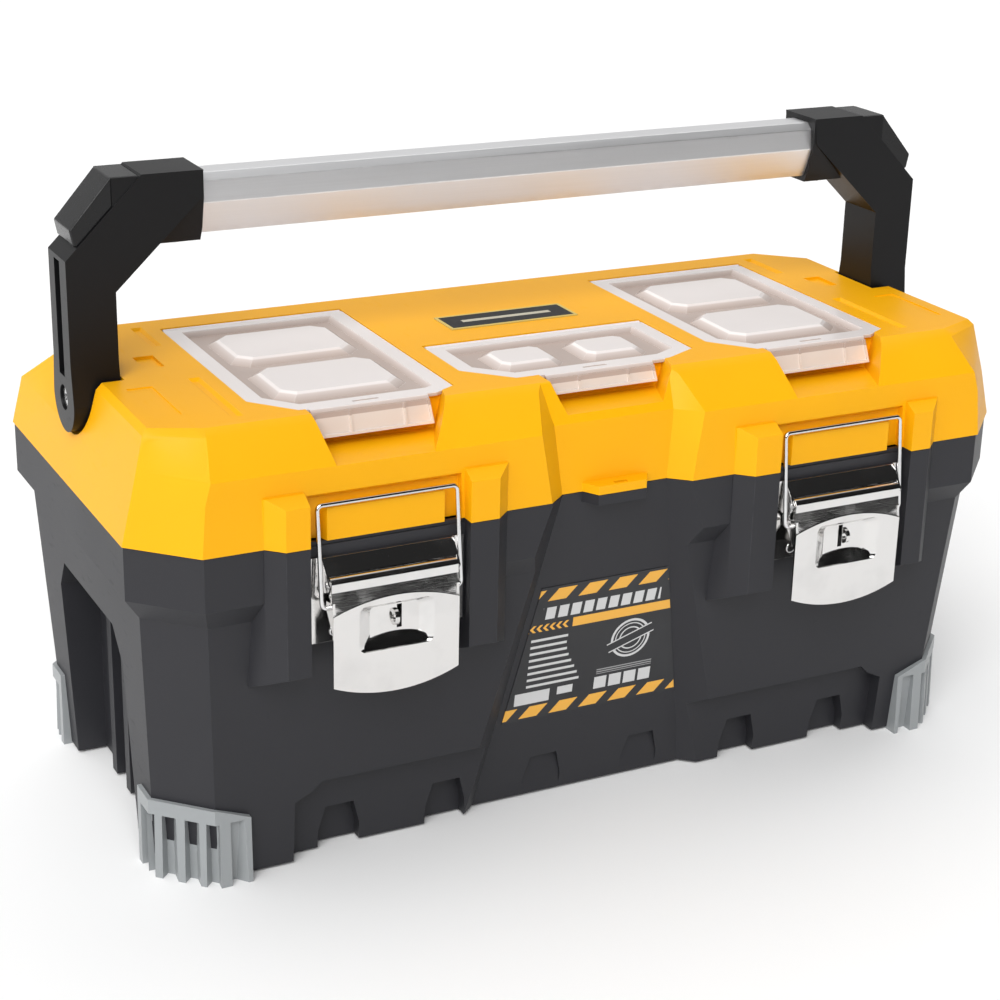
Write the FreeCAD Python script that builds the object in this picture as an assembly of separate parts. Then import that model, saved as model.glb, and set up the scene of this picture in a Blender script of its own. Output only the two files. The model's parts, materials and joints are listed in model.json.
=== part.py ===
"""Long moulded toolbox: lower box, hinged lid with three organizers, lift-out tray and a carry handle.

Millimetres.  X runs along the box, -Y is the front with the latches and +Z is up.
The origin is on the floor, in the middle of the whole box.
"""
import FreeCAD, Part

import math
import os

os.makedirs("parts", exist_ok=True)
V = FreeCAD.Vector

# ---------------------------------------------------------------- driving dimensions
LENGTH = 660.0              # over the lid's rim
DEPTH = 332.0               # over the lid's rim
PARTING_Z = 241.0           # where the lid meets the box
LID_HEIGHT = 72.0           # from the parting line to the flat top
CORNER_CUT_LOW = 33.0       # corner of the walls under the rim band
CORNER_CUT = 38.5           # 45 degree corner of the rim
WALL = 3.0                  # moulded wall
SPREAD = LENGTH / 660.0     # what is set out along the top spreads with the length
SEAT_GAP = 0.3              # lid above the box at the rim
REVEAL = 1.0                # rim of the box stands in from the lid's rim

BAND_HEIGHT = 36.0          # rim band of the box
SHELF_HEIGHT = 15.0         # sloped shelf under the band
SHELF_IN = 10.0             # how far the wall steps in under the shelf
DRAFT_FRONT = 17.0          # the long walls lean in by this much to the floor
DRAFT_END = 9.0             # the end walls lean in by this much
FOOT_LIFT = 2.0             # the box's floor is this high on its feet
FLOOR_THICK = 4.0

PANEL_TOP_HALF = 39.5       # sunk front panel, half width at the parting line
PANEL_LOW_HALF = 84.0       # and at the floor
PANEL_DEEP_TOP = 10.5       # how deep it is sunk, at the parting line
PANEL_DEEP_LOW = 20.0       # and at the floor
PANEL_FLARE = 1.15          # its sides open out by this much for each millimetre of depth
BAND_LOW_HALF = LENGTH / 2 - 96.0       # low sunk band along the front and back
BAND_LOW_X = 9.0            # the band and its arches are set off to the right by this much
BAND_LOW_TOP = 54.0
BAND_LOW_LIP = 8.0          # height of its sloped upper edge
BAND_LOW_BEVEL = 12.0       # its upper corners are bevelled by this much
BAND_LOW_DEEP = 11.0
NOTCH_PITCH = (BAND_LOW_HALF + 3.0) / 3           # scalloped feet along the low band
NOTCH_HALF = 15.0
NOTCH_HEIGHT = 33.0
NOTCH_DEEP = 8.0
GRIP_HALF = 72.0            # arched pocket in each end wall
GRIP_TOP = 158.0
GRIP_DEEP = 21.0

LATCH_X = 171.0 * SPREAD             # centre of each latch
BAY_HALF = 54.5             # clear width between the ribs beside a latch
RIB_WIDTH_IN = 20.0         # rib on the panel's side
RIB_WIDTH_OUT = 16.0        # rib on the corner's side
RIB_FLANK = 10.5
RIB_OUT = 10.0              # ribs stand this far out from the lid's rim
RIB_LOW_Z = 143.0
RIB_TOP_Z = 274.0

HINGE_X = 205.0 * SPREAD             # centre of each rear hinge
HINGE_PIN_R = 2.5
HINGE_BARREL_R = 8.0
HINGE_PIN_OUT = 10.0        # pin behind the lid's rim
KNUCKLE = 26.0              # length of the lid's knuckle
KNUCKLE_GAP = 0.5
RUN_FIT = 0.06              # radial clearance of a turning pin
FREE_GAP = 0.4              # gap beside parts that move past each other

BREAK_Z = 33.0              # lid wall breaks inwards at this height over the parting line
FRONT_BREAK_Z = 47.0        # along the front it breaks at this height
TOP_FRONT_IN = 29.0         # flat top stands in from the rim: front
TOP_REAR_IN = 66.0          # rear
TOP_END_IN = 18.0           # end, ahead of the handle
TOP_END_IN_REAR = 30.0      # end, behind the handle
TOP_BEVEL = 4.0             # height of the bevel round the flat top
TOP_BEVEL_IN = 3.0          # and how far it takes the top in
BREAK_END_IN = 8.0
BREAK_FRONT_IN = 1.5

PIVOT_Z = PARTING_Z + 57.0  # carry handle's pivot
ARM_IN_X = LENGTH / 2 - 35.5            # inner face of a handle arm
ARM_THICK = 32.0
ARM_HALF_TOP = 19.7         # half depth of the arm at the bar
ARM_END_R = 23.0            # rounded lower end
BAR_TOP_OVER_PIVOT = 146.5
PIVOT_R = 4.0
VALLEY_GAP = 2.2            # room around the arm's end in the lid

COVER_THICK = 2.2
COVER_SINK = 3.2            # covers' seats are this deep in the lid's top
SEAT_FRAME = 7.0            # thickened frame of the lid around each seat
SEAT_FRAME_OUT = 6.0        # and how far it reaches outside the seat
SIDE_COVER_X = 169.0 * SPREAD
SIDE_COVER_HALF = 67.0 * SPREAD
SIDE_COVER_REAR = DEPTH / 2 - 91.0
SIDE_COVER_FRONT = 42.0 - DEPTH / 2
SIDE_COVER_CUTS = ((24.0, 28.0), (15.0, 8.0))     # front corners: left, then right, as (x, y)
MID_COVER_HALF = 85.0 * SPREAD
MID_COVER_REAR = -31.0
MID_COVER_FRONT = 48.0 - DEPTH / 2
MID_COVER_CUTS = ((28.0, 28.0), (26.0, 13.0))
SIDE_TAB = ((-36.5, 44.5), (-33.0, 46.5), 17.5)   # tab from its cover's middle: top, foot, drop
MID_TAB = ((-37.0, 45.0), (-33.0, 46.5), 12.5)
SIDE_TAB_RIBS = (-11.0, 26.5)
MID_TAB_RIBS = (-13.0, 24.5)
NOTCH_BACK = 3.0            # a tab's notch reaches this far behind the cover's front edge
# notch in the lid's front under a tab, as left and right (back, mouth): at its floor, then at the top
SIDE_NOTCH = (((-34.0, -34.0), (51.0, 27.0)), ((-39.0, -39.0), (57.0, 40.0)), 25.0)
MID_NOTCH = (((-36.0, -31.0), (51.0, 27.0)), ((-41.0, -41.0), (57.0, 40.0)), 20.0)
COVER_FLANGE = 9.0
TAB_SHEET = 1.4             # a tab's sheet, and how far its rim and ribs stand out in front
TAB_RIM = 2.8
BIN_DEPTH = 30.0
BIN_WALL = 2.0
COVER_PIN_R = 1.0
COVER_BARREL_R = 1.9

TRAY_HALF_LENGTH = LENGTH / 2 - 40.0
TRAY_HALF_DEPTH = DEPTH / 2 - 34.0
TRAY_HEIGHT = 46.0
TRAY_WALL = 2.5
TRAY_SEAT_Z = 188.0

TOP_Z = PARTING_Z + LID_HEIGHT
HALF_L = LENGTH / 2
HALF_D = DEPTH / 2
BOX_TOP_Z = PARTING_Z - SEAT_GAP
HINGE_Y = HALF_D + HINGE_PIN_OUT
COVER_PIN_BACK = COVER_BARREL_R + 2 * FREE_GAP
COVER_PIN_HOLD = 4.5        # cover pins reach this far into the lid at each end
COVER_PIN_Z = TOP_Z - COVER_BARREL_R

GROOVE_X = HALF_L - 79.0    # grooves beside the side covers
GROOVE_HALF = 4.0
GROOVE_DEEP = 2.0
GROOVE_SPANS = ((45.0 - HALF_D, -38.0), (38.0, HALF_D - 82.0))
BADGE_HALF_X = 50.0
BADGE_Y0 = -5.0
BADGE_Y1 = 26.0

PAD_FACE = HALF_D           # latch plates bear on this plane
PAD_LOW = 172.0
PAD_TOP = 238.0
RIVET_R = 2.0
PLATE_THICK = 2.0
PLATE_HALF = 53.0
HOOD_TOP = PARTING_Z - 10.0
PIN_Y = -(HALF_D + 11.0)    # latch lever's pin
PIN_Z = PARTING_Z - 25.0
LATCH_PIN_R = 2.0
PIN_PROUD = 0.3
LEVER_HALF = 43.2
LEVER_FACE = HALF_D + 18.0
LEVER_THICK = 1.6
LEVER_END_Z = PARTING_Z - 93.0
ARCH_LOW = PIN_Z - 20.0      # the lever's flat face ends in an arch below its barrel
ARCH_HIGH = PIN_Z - 11.5
EAR_THICK = 1.6
EAR_HALF = LEVER_HALF + FREE_GAP
DISH_HALF = 27.0            # dish pressed into the lever, with a curved scoop and a padlock loop
DISH_DEEP = 4.4
DISH_SLOPE = 10.0           # its end walls slope in by this much
SCOOP_R = 50.0
LOOP_R = 5.5
CATCH_HALF = 40.0           # block on the lid that the bail hooks over
CATCH_FLANK = 3.0
CATCH_FACE = HALF_D + 1.0
CATCH_LOW = PARTING_Z
CATCH_TOP = PARTING_Z + 21.5
RECESS_DEEP = 6.5           # recess of the lid behind the block
RECESS_TOP = PARTING_Z + 30.0
WIRE_R = 1.5
BAIL_PIVOT_Z = PIN_Z - 16.0
BAIL_PIVOT_Y = PIN_Y + 0.6
BAIL_HALF = 47.6
BAIL_TOP_Z = CATCH_TOP + WIRE_R + 1.6
BAIL_TOP_Y = -(CATCH_FACE + FREE_GAP + WIRE_R)

BAR_TOP_Z = PIVOT_Z + BAR_TOP_OVER_PIVOT
BAR_END_X = ARM_IN_X - 32.5
MOUTH_X = ARM_IN_X - 60.5   # mouth of an arm's socket
SCREW_X = ARM_IN_X - 45.5
ARM_OUT_X = ARM_IN_X + ARM_THICK
ELBOW_CUT = 51.5
BAR_WALL = 5.0              # wall of the socket under the bar
CAP_SET_BACK = 1.8          # bumper stands in from the arm's sides
CAP_SEAT = 2.5              # and sits this deep in its bevel

FOOT_TOP = 56.0
FOOT_PROUD = 6.0            # foot stands out from the wall: at the floor, then at its top
FOOT_PROUD_TOP = 3.0
FOOT_SKIRT = 4.0
FOOT_DROP = 9.5             # its front slopes down by this much
RIB_DEEP = 7.5              # its grooves are this deep at the floor, and at its top
RIB_DEEP_TOP = 2.2
FOOT_BAND = 10.0            # plain band over its slots
SLOT_HALF = 2.6
SLOT_SLOPE = 6.0            # one side of each groove slopes out by this much
LABEL_THICK = 0.5
LABEL_X = 2.0
LABEL_LOW = 66.0
LABEL_HIGH = 171.0
LABEL_HALF_LOW = 69.0
LABEL_HALF_HIGH = 49.0


# ---------------------------------------------------------------- helpers
def wire_at(points, z):
    ring = [V(x, y, z) for x, y in points]
    return Part.makePolygon(ring + [ring[0]])


def loft(*levels):
    """Solid between outlines, each given as (z, points), with straight sides."""
    solids = []
    for (z0, low), (z1, high) in zip(levels, levels[1:]):
        solids.append(Part.makeLoft([wire_at(low, z0), wire_at(high, z1)], True, True))
    return fuse(*solids)


def fuse(*shapes):
    if len(shapes) == 1:
        return shapes[0]
    return shapes[0].fuse(list(shapes[1:])).removeSplitter()


def box(x0, x1, y0, y1, z0, z1):
    return Part.makeBox(x1 - x0, y1 - y0, z1 - z0, V(x0, y0, z0))


def prism_x(points_yz, x0, x1):
    ring = [V(x0, y, z) for y, z in points_yz]
    face = Part.Face(Part.makePolygon(ring + [ring[0]]))
    return face.extrude(V(x1 - x0, 0, 0))


def prism_y(points_xz, y0, y1):
    ring = [V(x, y0, z) for x, z in points_xz]
    face = Part.Face(Part.makePolygon(ring + [ring[0]]))
    return face.extrude(V(0, y1 - y0, 0))


def rod_x(x0, x1, y, z, r):
    return Part.makeCylinder(r, x1 - x0, V(x0, y, z), V(1, 0, 0))


def inset(points, distance):
    """Convex outline moved inwards by a distance, for points in anticlockwise order."""
    moved = []
    count = len(points)
    for i in range(count):
        before = edge_line(points[i - 1], points[i], distance)
        after = edge_line(points[i], points[(i + 1) % count], distance)
        moved.append(crossing(before, after))
    return moved


def edge_line(a, b, distance):
    dx, dy = b[0] - a[0], b[1] - a[1]
    size = math.hypot(dx, dy)
    shift_x, shift_y = -dy / size * distance, dx / size * distance
    return (a[0] + shift_x, a[1] + shift_y), (dx / size, dy / size)


def crossing(first, second):
    (ax, ay), (adx, ady) = first
    (bx, by), (bdx, bdy) = second
    cross = adx * bdy - ady * bdx
    if abs(cross) < 1e-9:
        return bx, by
    t = ((bx - ax) * bdy - (by - ay) * bdx) / cross
    return ax + t * adx, ay + t * ady


def octagon(half_x, half_y, cut):
    right = [(half_x, -half_y + cut), (half_x, half_y - cut), (half_x - cut, half_y)]
    left = [(-half_x + cut, half_y), (-half_x, half_y - cut), (-half_x, -half_y + cut)]
    return [(half_x - cut, -half_y)] + right + left + [(-half_x + cut, -half_y)]


def mirrored(shape):
    return shape.mirror(V(0, 0, 0), V(1, 0, 0))


def both_sides(shape):
    """The shape on the right and its mirror image on the left."""
    return [shape, mirrored(shape)]


def save(name, shape):
    solid = shape.Solids[0] if len(shape.Solids) == 1 else Part.makeCompound(shape.Solids)
    solid.exportStep(f"parts/{name}.step")
    print(f"{name:26s} solids {len(shape.Solids)} volume {shape.Volume:12.1f} valid {shape.isValid()}")


def save_pair(name, right_shape):
    save(f"{name}_right", right_shape)
    save(f"{name}_left", mirrored(right_shape))


# ---------------------------------------------------------------- lower box
BOX_HALF_X = HALF_L - REVEAL
BOX_HALF_Y = HALF_D - REVEAL
BAND_LOW_Z = BOX_TOP_Z - BAND_HEIGHT
SHELF_Z = BAND_LOW_Z - SHELF_HEIGHT


def box_outline(z):
    """Outer outline of the box's wall under the shelf, at a height."""
    lean = (SHELF_Z - z) / (SHELF_Z - FOOT_LIFT)
    half_x = BOX_HALF_X - SHELF_IN - DRAFT_END * lean
    half_y = BOX_HALF_Y - SHELF_IN - DRAFT_FRONT * lean
    return octagon(half_x, half_y, CORNER_CUT_LOW - lean)


def wall_front(z):
    """Distance of the long wall from the middle, at a height under the shelf."""
    lean = (SHELF_Z - z) / (SHELF_Z - FOOT_LIFT)
    return BOX_HALF_Y - SHELF_IN - DRAFT_FRONT * lean


def wall_end(z):
    lean = (SHELF_Z - z) / (SHELF_Z - FOOT_LIFT)
    return BOX_HALF_X - SHELF_IN - DRAFT_END * lean


def box_body(shrink, floor_z, top_z):
    """Plain body of the box, with its walls moved inwards by `shrink`."""
    rim = octagon(BOX_HALF_X, BOX_HALF_Y, CORNER_CUT)
    levels = [(floor_z, box_outline(floor_z)), (SHELF_Z, box_outline(SHELF_Z)),
              (BAND_LOW_Z, rim), (top_z, rim)]
    return loft(*[(z, inset(points, shrink) if shrink else points) for z, points in levels])


def panel_half(z):
    share = (PARTING_Z - z) / PARTING_Z
    return PANEL_TOP_HALF + (PANEL_LOW_HALF - PANEL_TOP_HALF) * share


def panel_y(z):
    """Face of the sunk front panel, as a distance from the middle."""
    share = (PARTING_Z - z) / PARTING_Z
    deep = PANEL_DEEP_TOP + (PANEL_DEEP_LOW - PANEL_DEEP_TOP) * share
    return BOX_HALF_Y - deep - (SHELF_IN + DRAFT_FRONT) * share


def panel_cut(grow):
    """Space in front of the sunk panel; `grow` makes the same cut for the inner wall."""
    def quad(z):
        half = panel_half(z) + grow
        deep = panel_y(z) - grow
        reach = HALF_D + 40.0
        flare = PANEL_FLARE * (reach - deep)
        return [(-half, -deep), (-half - flare, -reach), (half + flare, -reach), (half, -deep)]
    return loft((-5.0, quad(-5.0)), (PARTING_Z + 1.0, quad(PARTING_Z + 1.0)))


def low_band_cut(side, grow):
    """Low sunk band: side -1 is the front and +1 the back."""
    def quad(z, half, deep):
        inner = side * (wall_front(max(z, 0.0)) - deep - grow)
        outer = side * (HALF_D + 20.0)
        left = BAND_LOW_X - half - grow
        right = BAND_LOW_X + half + grow
        return [(left, inner), (left, outer), (right, outer), (right, inner)]
    shoulder = BAND_LOW_TOP - BAND_LOW_BEVEL / 2
    low = quad(-5.0, BAND_LOW_HALF, BAND_LOW_DEEP)
    middle = quad(shoulder, BAND_LOW_HALF, BAND_LOW_DEEP)
    top = quad(BAND_LOW_TOP + grow, BAND_LOW_HALF - BAND_LOW_BEVEL, BAND_LOW_DEEP)
    lip_z = BAND_LOW_TOP + BAND_LOW_LIP + grow
    lip = quad(lip_z, BAND_LOW_HALF - BAND_LOW_BEVEL - BAND_LOW_LIP, -2.0 - grow)
    return loft((-5.0, low), (shoulder, middle), (BAND_LOW_TOP + grow, top), (lip_z, lip))


def notch_cuts(side, grow):
    """Row of shallow arches along the foot of the low band."""
    cuts = []
    for i in range(6):
        x = (i - 2.5) * NOTCH_PITCH + BAND_LOW_X
        half = NOTCH_HALF + grow
        height = NOTCH_HEIGHT + grow
        inner = side * (wall_front(0.0) - BAND_LOW_DEEP - NOTCH_DEEP - grow)
        outer = side * HALF_D
        outline = [(x - half, -5.0), (x - half, height * 0.45), (x - half * 0.68, height),
                   (x + half * 0.68, height), (x + half, height * 0.45), (x + half, -5.0)]
        cuts.append(prism_y(outline, min(inner, outer), max(inner, outer)))
    return cuts


def grip_cut(grow):
    """Arched pocket in the right end wall, open at the floor."""
    half = GRIP_HALF + grow
    inner = wall_end(0.0) - GRIP_DEEP - grow
    straight = GRIP_TOP - 22.0
    crown = GRIP_TOP + grow
    outline = [(-half, -5.0), (-half, straight), (-half * 0.78, crown), (half * 0.78, crown),
               (half, straight), (half, -5.0)]
    return prism_x(outline, inner, HALF_L + 30.0)


def grip_ribs():
    """Upright ribs on the back of the right end pocket."""
    inner = wall_end(0.0) - GRIP_DEEP
    ribs = []
    for y in (-32.0, 0.0, 32.0):
        ribs.append(box(inner - 1.0, inner + 6.0, y - 5.0, y + 5.0, FOOT_LIFT, GRIP_TOP + 1.0))
    return ribs


def latch_ribs(z0, z1, back, back_flank, taper):
    """Two upright ribs beside the right latch, standing out to a common face."""
    face = -(HALF_D + RIB_OUT)
    left = LATCH_X - BAY_HALF
    right = LATCH_X + BAY_HALF
    inner_face = left - RIB_WIDTH_IN
    outer_face = right + RIB_WIDTH_OUT
    inner = [(inner_face - back_flank, back), (inner_face - RIB_FLANK, -HALF_D), (inner_face, face),
             (left, face),
             (left, back)]
    outer = [(right, back), (right, face), (outer_face, face), (outer_face + RIB_FLANK, -HALF_D),
             (outer_face + back_flank, back)]
    ribs = []
    for ring in (inner, outer):
        ribs.append(loft((z0, ring), (z1, ring)))
    slope = prism_x([(face - 1, z0 - 1), (back, z0 - 1), (face - 1, z0 + taper)], 0, HALF_L)
    return [rib.cut(slope) for rib in ribs]


def lower_box():
    outer = box_body(0.0, FOOT_LIFT, BOX_TOP_Z)
    shaping = [panel_cut(0.0)]
    hollow_shaping = [panel_cut(WALL)]
    for side in (-1, 1):
        shaping.append(low_band_cut(side, 0.0))
        shaping += notch_cuts(side, 0.0)
        hollow_shaping.append(low_band_cut(side, WALL))
        hollow_shaping += notch_cuts(side, WALL)
    shaping += both_sides(grip_cut(0.0))
    hollow_shaping += both_sides(grip_cut(WALL))
    outer = outer.cut(shaping)
    hollow = box_body(WALL, FOOT_LIFT, BOX_TOP_Z + 5.0)
    hollow = hollow.common(box(-LENGTH, LENGTH, -DEPTH, DEPTH, FOOT_LIFT + FLOOR_THICK, TOP_Z))
    hollow = hollow.cut(hollow_shaping)
    shell = outer.cut(hollow)
    extras = []
    for rib in grip_ribs():
        extras += both_sides(rib)
    ledge = box(TRAY_HALF_LENGTH - 12.0, wall_end(TRAY_SEAT_Z) - 1.0, -96.0, 96.0, TRAY_SEAT_Z - 8.0,
                TRAY_SEAT_Z)
    extras += both_sides(ledge)
    extras += hinge_knuckles(False)
    extras.append(padlock_ear(BOX_TOP_Z - 7.0, BOX_TOP_Z))
    body = fuse(shell, *extras)
    bores = [rod_x(-HALF_L, HALF_L, HINGE_Y, PARTING_Z, HINGE_PIN_R + RUN_FIT)]
    bores.append(padlock_hole())
    for hole in rivet_holes():
        bores += both_sides(hole)
    return body.cut(bores)


def rivet_holes():
    holes = []
    for x, z in rivet_places():
        holes.append(Part.makeCylinder(RIVET_R, 30.0, V(x, -PAD_FACE - 1.0, z), V(0, 1, 0)))
    return holes


def latch_bed():
    """Moulding on the box's front that carries the right latch: a pad between two ribs."""
    wall = box_body(0.0, FOOT_LIFT, BOX_TOP_Z)
    pad = box(LATCH_X - BAY_HALF, LATCH_X + BAY_HALF, -PAD_FACE, -WALL_INNER_Y, PAD_LOW, PAD_TOP)
    ribs = latch_ribs(RIB_LOW_Z, BOX_TOP_Z, -WALL_INNER_Y, RIB_FLANK + 8.0, 12.0)
    return fuse(pad, *ribs).cut([wall] + rivet_holes())


# ---------------------------------------------------------------- shared seats
WALL_INNER_Y = wall_front(RIB_LOW_Z) - WALL / 2     # ribs and pads start inside the wall


def rivet_places():
    """Four rivets of the right latch plate, as (x, z)."""
    return [(LATCH_X + dx, z) for dx in (-36.0, 36.0) for z in (PAD_LOW + 8.0, PAD_TOP - 34.0)]


def hinge_knuckles(on_lid):
    """Rear hinge barrels: the lid has the middle one of each three."""
    parts = []
    side_length = 18.0
    for centre in (-HINGE_X, HINGE_X):
        half = KNUCKLE / 2
        if on_lid:
            spans = [(centre - half, centre + half)]
            web_z = (PARTING_Z, PARTING_Z + HINGE_BARREL_R)
        else:
            spans = [(centre - half - KNUCKLE_GAP - side_length, centre - half - KNUCKLE_GAP),
                     (centre + half + KNUCKLE_GAP, centre + half + KNUCKLE_GAP + side_length)]
            web_z = (PARTING_Z - HINGE_BARREL_R, BOX_TOP_Z)
        for x0, x1 in spans:
            parts.append(rod_x(x0, x1, HINGE_Y, PARTING_Z, HINGE_BARREL_R))
            parts.append(box(x0, x1, HALF_D - REVEAL - WALL, HINGE_Y, *web_z))
    return parts


def padlock_ear(z0, z1):
    """Small ear in the middle of the front, for a padlock."""
    back = -panel_y(PARTING_Z) + 1.0
    ring = [(-25.0, back), (-18.0, -(HALF_D - REVEAL)), (18.0, -(HALF_D - REVEAL)), (25.0, back)]
    return loft((z0, ring), (z1, ring))


def padlock_hole():
    y = -(HALF_D - REVEAL) + 4.0
    return box(-5.0, 5.0, y - 1.6, y + 1.6, PARTING_Z - 20.0, PARTING_Z + 20.0)


# ---------------------------------------------------------------- lid
def lid_levels():
    """Outlines of the lid, anticlockwise, at the rim, at the break and at the top."""
    def ring(front, front_x, end, end_y, mid, rear_end, rear_y, rear_x, rear):
        right = [(end, -end_y), (mid, -10.0), (rear_end, 10.0), (rear_end, rear_y), (rear_x, rear)]
        left = [(-x, y) for x, y in reversed(right)]
        return [(front_x, -front)] + right + left + [(-front_x, -front)]
    cut = CORNER_CUT
    rim = ring(HALF_D, HALF_L - cut, HALF_L, HALF_D - cut, HALF_L, HALF_L, HALF_D - cut, HALF_L - cut,
               HALF_D)
    bend = HALF_L - BREAK_END_IN
    bend_front = HALF_D - BREAK_FRONT_IN
    middle = ring(bend_front, HALF_L - cut - 3.0, bend, bend_front - 38.0, bend, bend, bend_front - 38.0,
                  HALF_L - cut - 3.0, bend_front)
    end = HALF_L - TOP_END_IN
    end_rear = HALF_L - TOP_END_IN_REAR
    rear = HALF_D - TOP_REAR_IN
    top = ring(HALF_D - TOP_FRONT_IN, end - 34.5, end, HALF_D - TOP_FRONT_IN - 14.5, end - 1.0, end_rear,
               rear - 30.0, end_rear - 34.0, rear)
    upper = between(middle, top, (FRONT_BREAK_Z - BREAK_Z) / (LID_HEIGHT - BREAK_Z))
    front = -(HALF_D - BREAK_FRONT_IN * FRONT_BREAK_Z / BREAK_Z)
    upper = [(upper[0][0], front)] + upper[1:-1] + [(upper[-1][0], front)]
    shoulder = between(upper, top, (LID_HEIGHT - TOP_BEVEL - FRONT_BREAK_Z) / (LID_HEIGHT - FRONT_BREAK_Z))
    return rim, middle, upper, shoulder, inset(top, TOP_BEVEL_IN)


def between(low, high, share):
    return [(ax + (bx - ax) * share, ay + (by - ay) * share) for (ax, ay), (bx, by) in zip(low, high)]


def lid_body(shrink, low_z, top_z):
    rings = lid_levels()
    if shrink:
        rings = [inset(ring, shrink) for ring in rings]
    rim, middle, upper, shoulder, top = rings
    return loft((low_z, rim), (PARTING_Z + BREAK_Z - shrink * 0.5, middle),
                (PARTING_Z + FRONT_BREAK_Z - shrink * 0.7, upper), (top_z - TOP_BEVEL, shoulder),
                (top_z, top))


def front_notch(x, notch, front, grow):
    """Space in front of a cover's tab, open to the front."""
    back = front + NOTCH_BACK + grow
    mouth = -HALF_D - 10.0
    def ring(sides):
        (left_back, left_mouth), (right_back, right_mouth) = sides
        return [(x + left_back * SPREAD - grow, back), (x + left_mouth * SPREAD - grow, mouth),
                (x + right_mouth * SPREAD + grow, mouth), (x + right_back * SPREAD + grow, back)]
    low, high, deep = notch
    return loft((TOP_Z - deep - grow, ring(low)), (TOP_Z + 1.0, ring(high)))


def front_notches(grow):
    notches = [front_notch(x, SIDE_NOTCH, SIDE_COVER_FRONT, grow) for x in (-SIDE_COVER_X, SIDE_COVER_X)]
    return notches + [front_notch(0.0, MID_NOTCH, MID_COVER_FRONT, grow)]


def lid_panel_cut(grow):
    """Sunk panel of the box carried on up the lid's front."""
    rim_y = HALF_D - REVEAL - PANEL_DEEP_TOP
    levels = [(PARTING_Z - 2.0, PANEL_TOP_HALF, rim_y), (PARTING_Z + FRONT_BREAK_Z, PANEL_TOP_HALF + 5.5,
                                                         rim_y - 4.5),
              (TOP_Z + 1.0, PANEL_TOP_HALF + 9.0, HALF_D - TOP_FRONT_IN - 3.0)]
    rings = []
    for z, half, face in levels:
        half += grow
        deep = face - grow
        reach = HALF_D + 20.0
        flare = PANEL_FLARE * (reach - deep)
        rings.append((z, [(-half, -deep), (-half - flare, -reach), (half + flare, -reach), (half, -deep)]))
    return loft(*rings)


def latch_recess(grow):
    """Shallow recess of the lid's front behind the right catch block."""
    low = PARTING_Z - 2.0
    back = RECESS_DEEP - HALF_D + grow
    outline = [(-HALF_D - 5.0, low), (back, low), (back, RECESS_TOP - 3.0 + grow),
               (-HALF_D - 5.0, RECESS_TOP + 5.0 + grow)]
    return prism_x(outline, LATCH_X - BAY_HALF + 2.0 - grow, LATCH_X + BAY_HALF - 2.0 + grow)


def valley(grow):
    """U-shaped room for the right arm's lower end."""
    radius = ARM_END_R + VALLEY_GAP + grow
    inner = ARM_IN_X - 1.5 - grow
    reach = HALF_L + 10.0
    trough = rod_x(inner, reach, 0.0, PIVOT_Z, radius)
    throat = box(inner, reach, -radius, radius, PIVOT_Z, TOP_Z + 5.0)
    return fuse(trough, throat)


def cover_outline(x, half, front, rear, cuts, grow):
    """Outline of a cover: square at the hinge, cut corners at the front."""
    (left_x, left_y), (right_x, right_y) = cuts
    ring = [(x - half + left_x, front), (x + half - right_x, front), (x + half, front + right_y),
            (x + half, rear), (x - half, rear), (x - half, front + left_y)]
    return inset(ring, -grow)


def side_outline(x, grow):
    return cover_outline(x, SIDE_COVER_HALF, SIDE_COVER_FRONT, SIDE_COVER_REAR, SIDE_COVER_CUTS, grow)


def mid_outline(x, grow):
    return cover_outline(x, MID_COVER_HALF, MID_COVER_FRONT, MID_COVER_REAR, MID_COVER_CUTS, grow)


def plate(points, z0, z1):
    return Part.Face(wire_at(points, z0)).extrude(V(0, 0, z1 - z0))


def cover_seats():
    """Sunk seats and openings in the lid's top, one for each cover."""
    cuts = []
    for x, outline in ((-SIDE_COVER_X, side_outline), (SIDE_COVER_X, side_outline), (0.0, mid_outline)):
        cuts.append(plate(outline(x, FREE_GAP), TOP_Z - COVER_SINK, TOP_Z + 1.0))
        cuts.append(plate(outline(x, -COVER_FLANGE), TOP_Z - SEAT_FRAME - 1.0, TOP_Z))
    for x, half, rear in cover_places():
        trench_z = COVER_PIN_Z - COVER_BARREL_R - FREE_GAP
        trench = (rear - 2 * COVER_PIN_BACK - FREE_GAP, rear + FREE_GAP)
        cuts.append(box(x - half - FREE_GAP, x + half + FREE_GAP, *trench, trench_z, TOP_Z + 1.0))
        pin_half = half + COVER_PIN_HOLD
        cuts.append(rod_x(x - pin_half, x + pin_half, rear - COVER_PIN_BACK, COVER_PIN_Z,
                          COVER_PIN_R + RUN_FIT))
    return cuts


def seat_frames():
    """Thick frames under the lid's top, one around each cover's seat."""
    frames = []
    for x, outline in ((-SIDE_COVER_X, side_outline), (SIDE_COVER_X, side_outline), (0.0, mid_outline)):
        frames.append(plate(outline(x, SEAT_FRAME_OUT), TOP_Z - SEAT_FRAME, TOP_Z - 1.0))
    return frames


def tapered_groove(x, y0, y1):
    """Shallow groove with sloped sides, along Y in the lid's top."""
    def ring(half, end):
        return [(x - half, y0 + end), (x + half, y0 + end), (x + half, y1 - end), (x - half, y1 - end)]
    return loft((TOP_Z - GROOVE_DEEP, ring(GROOVE_HALF - GROOVE_DEEP, GROOVE_DEEP)),
                (TOP_Z + 0.5, ring(GROOVE_HALF + 0.5, -0.5)))


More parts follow.
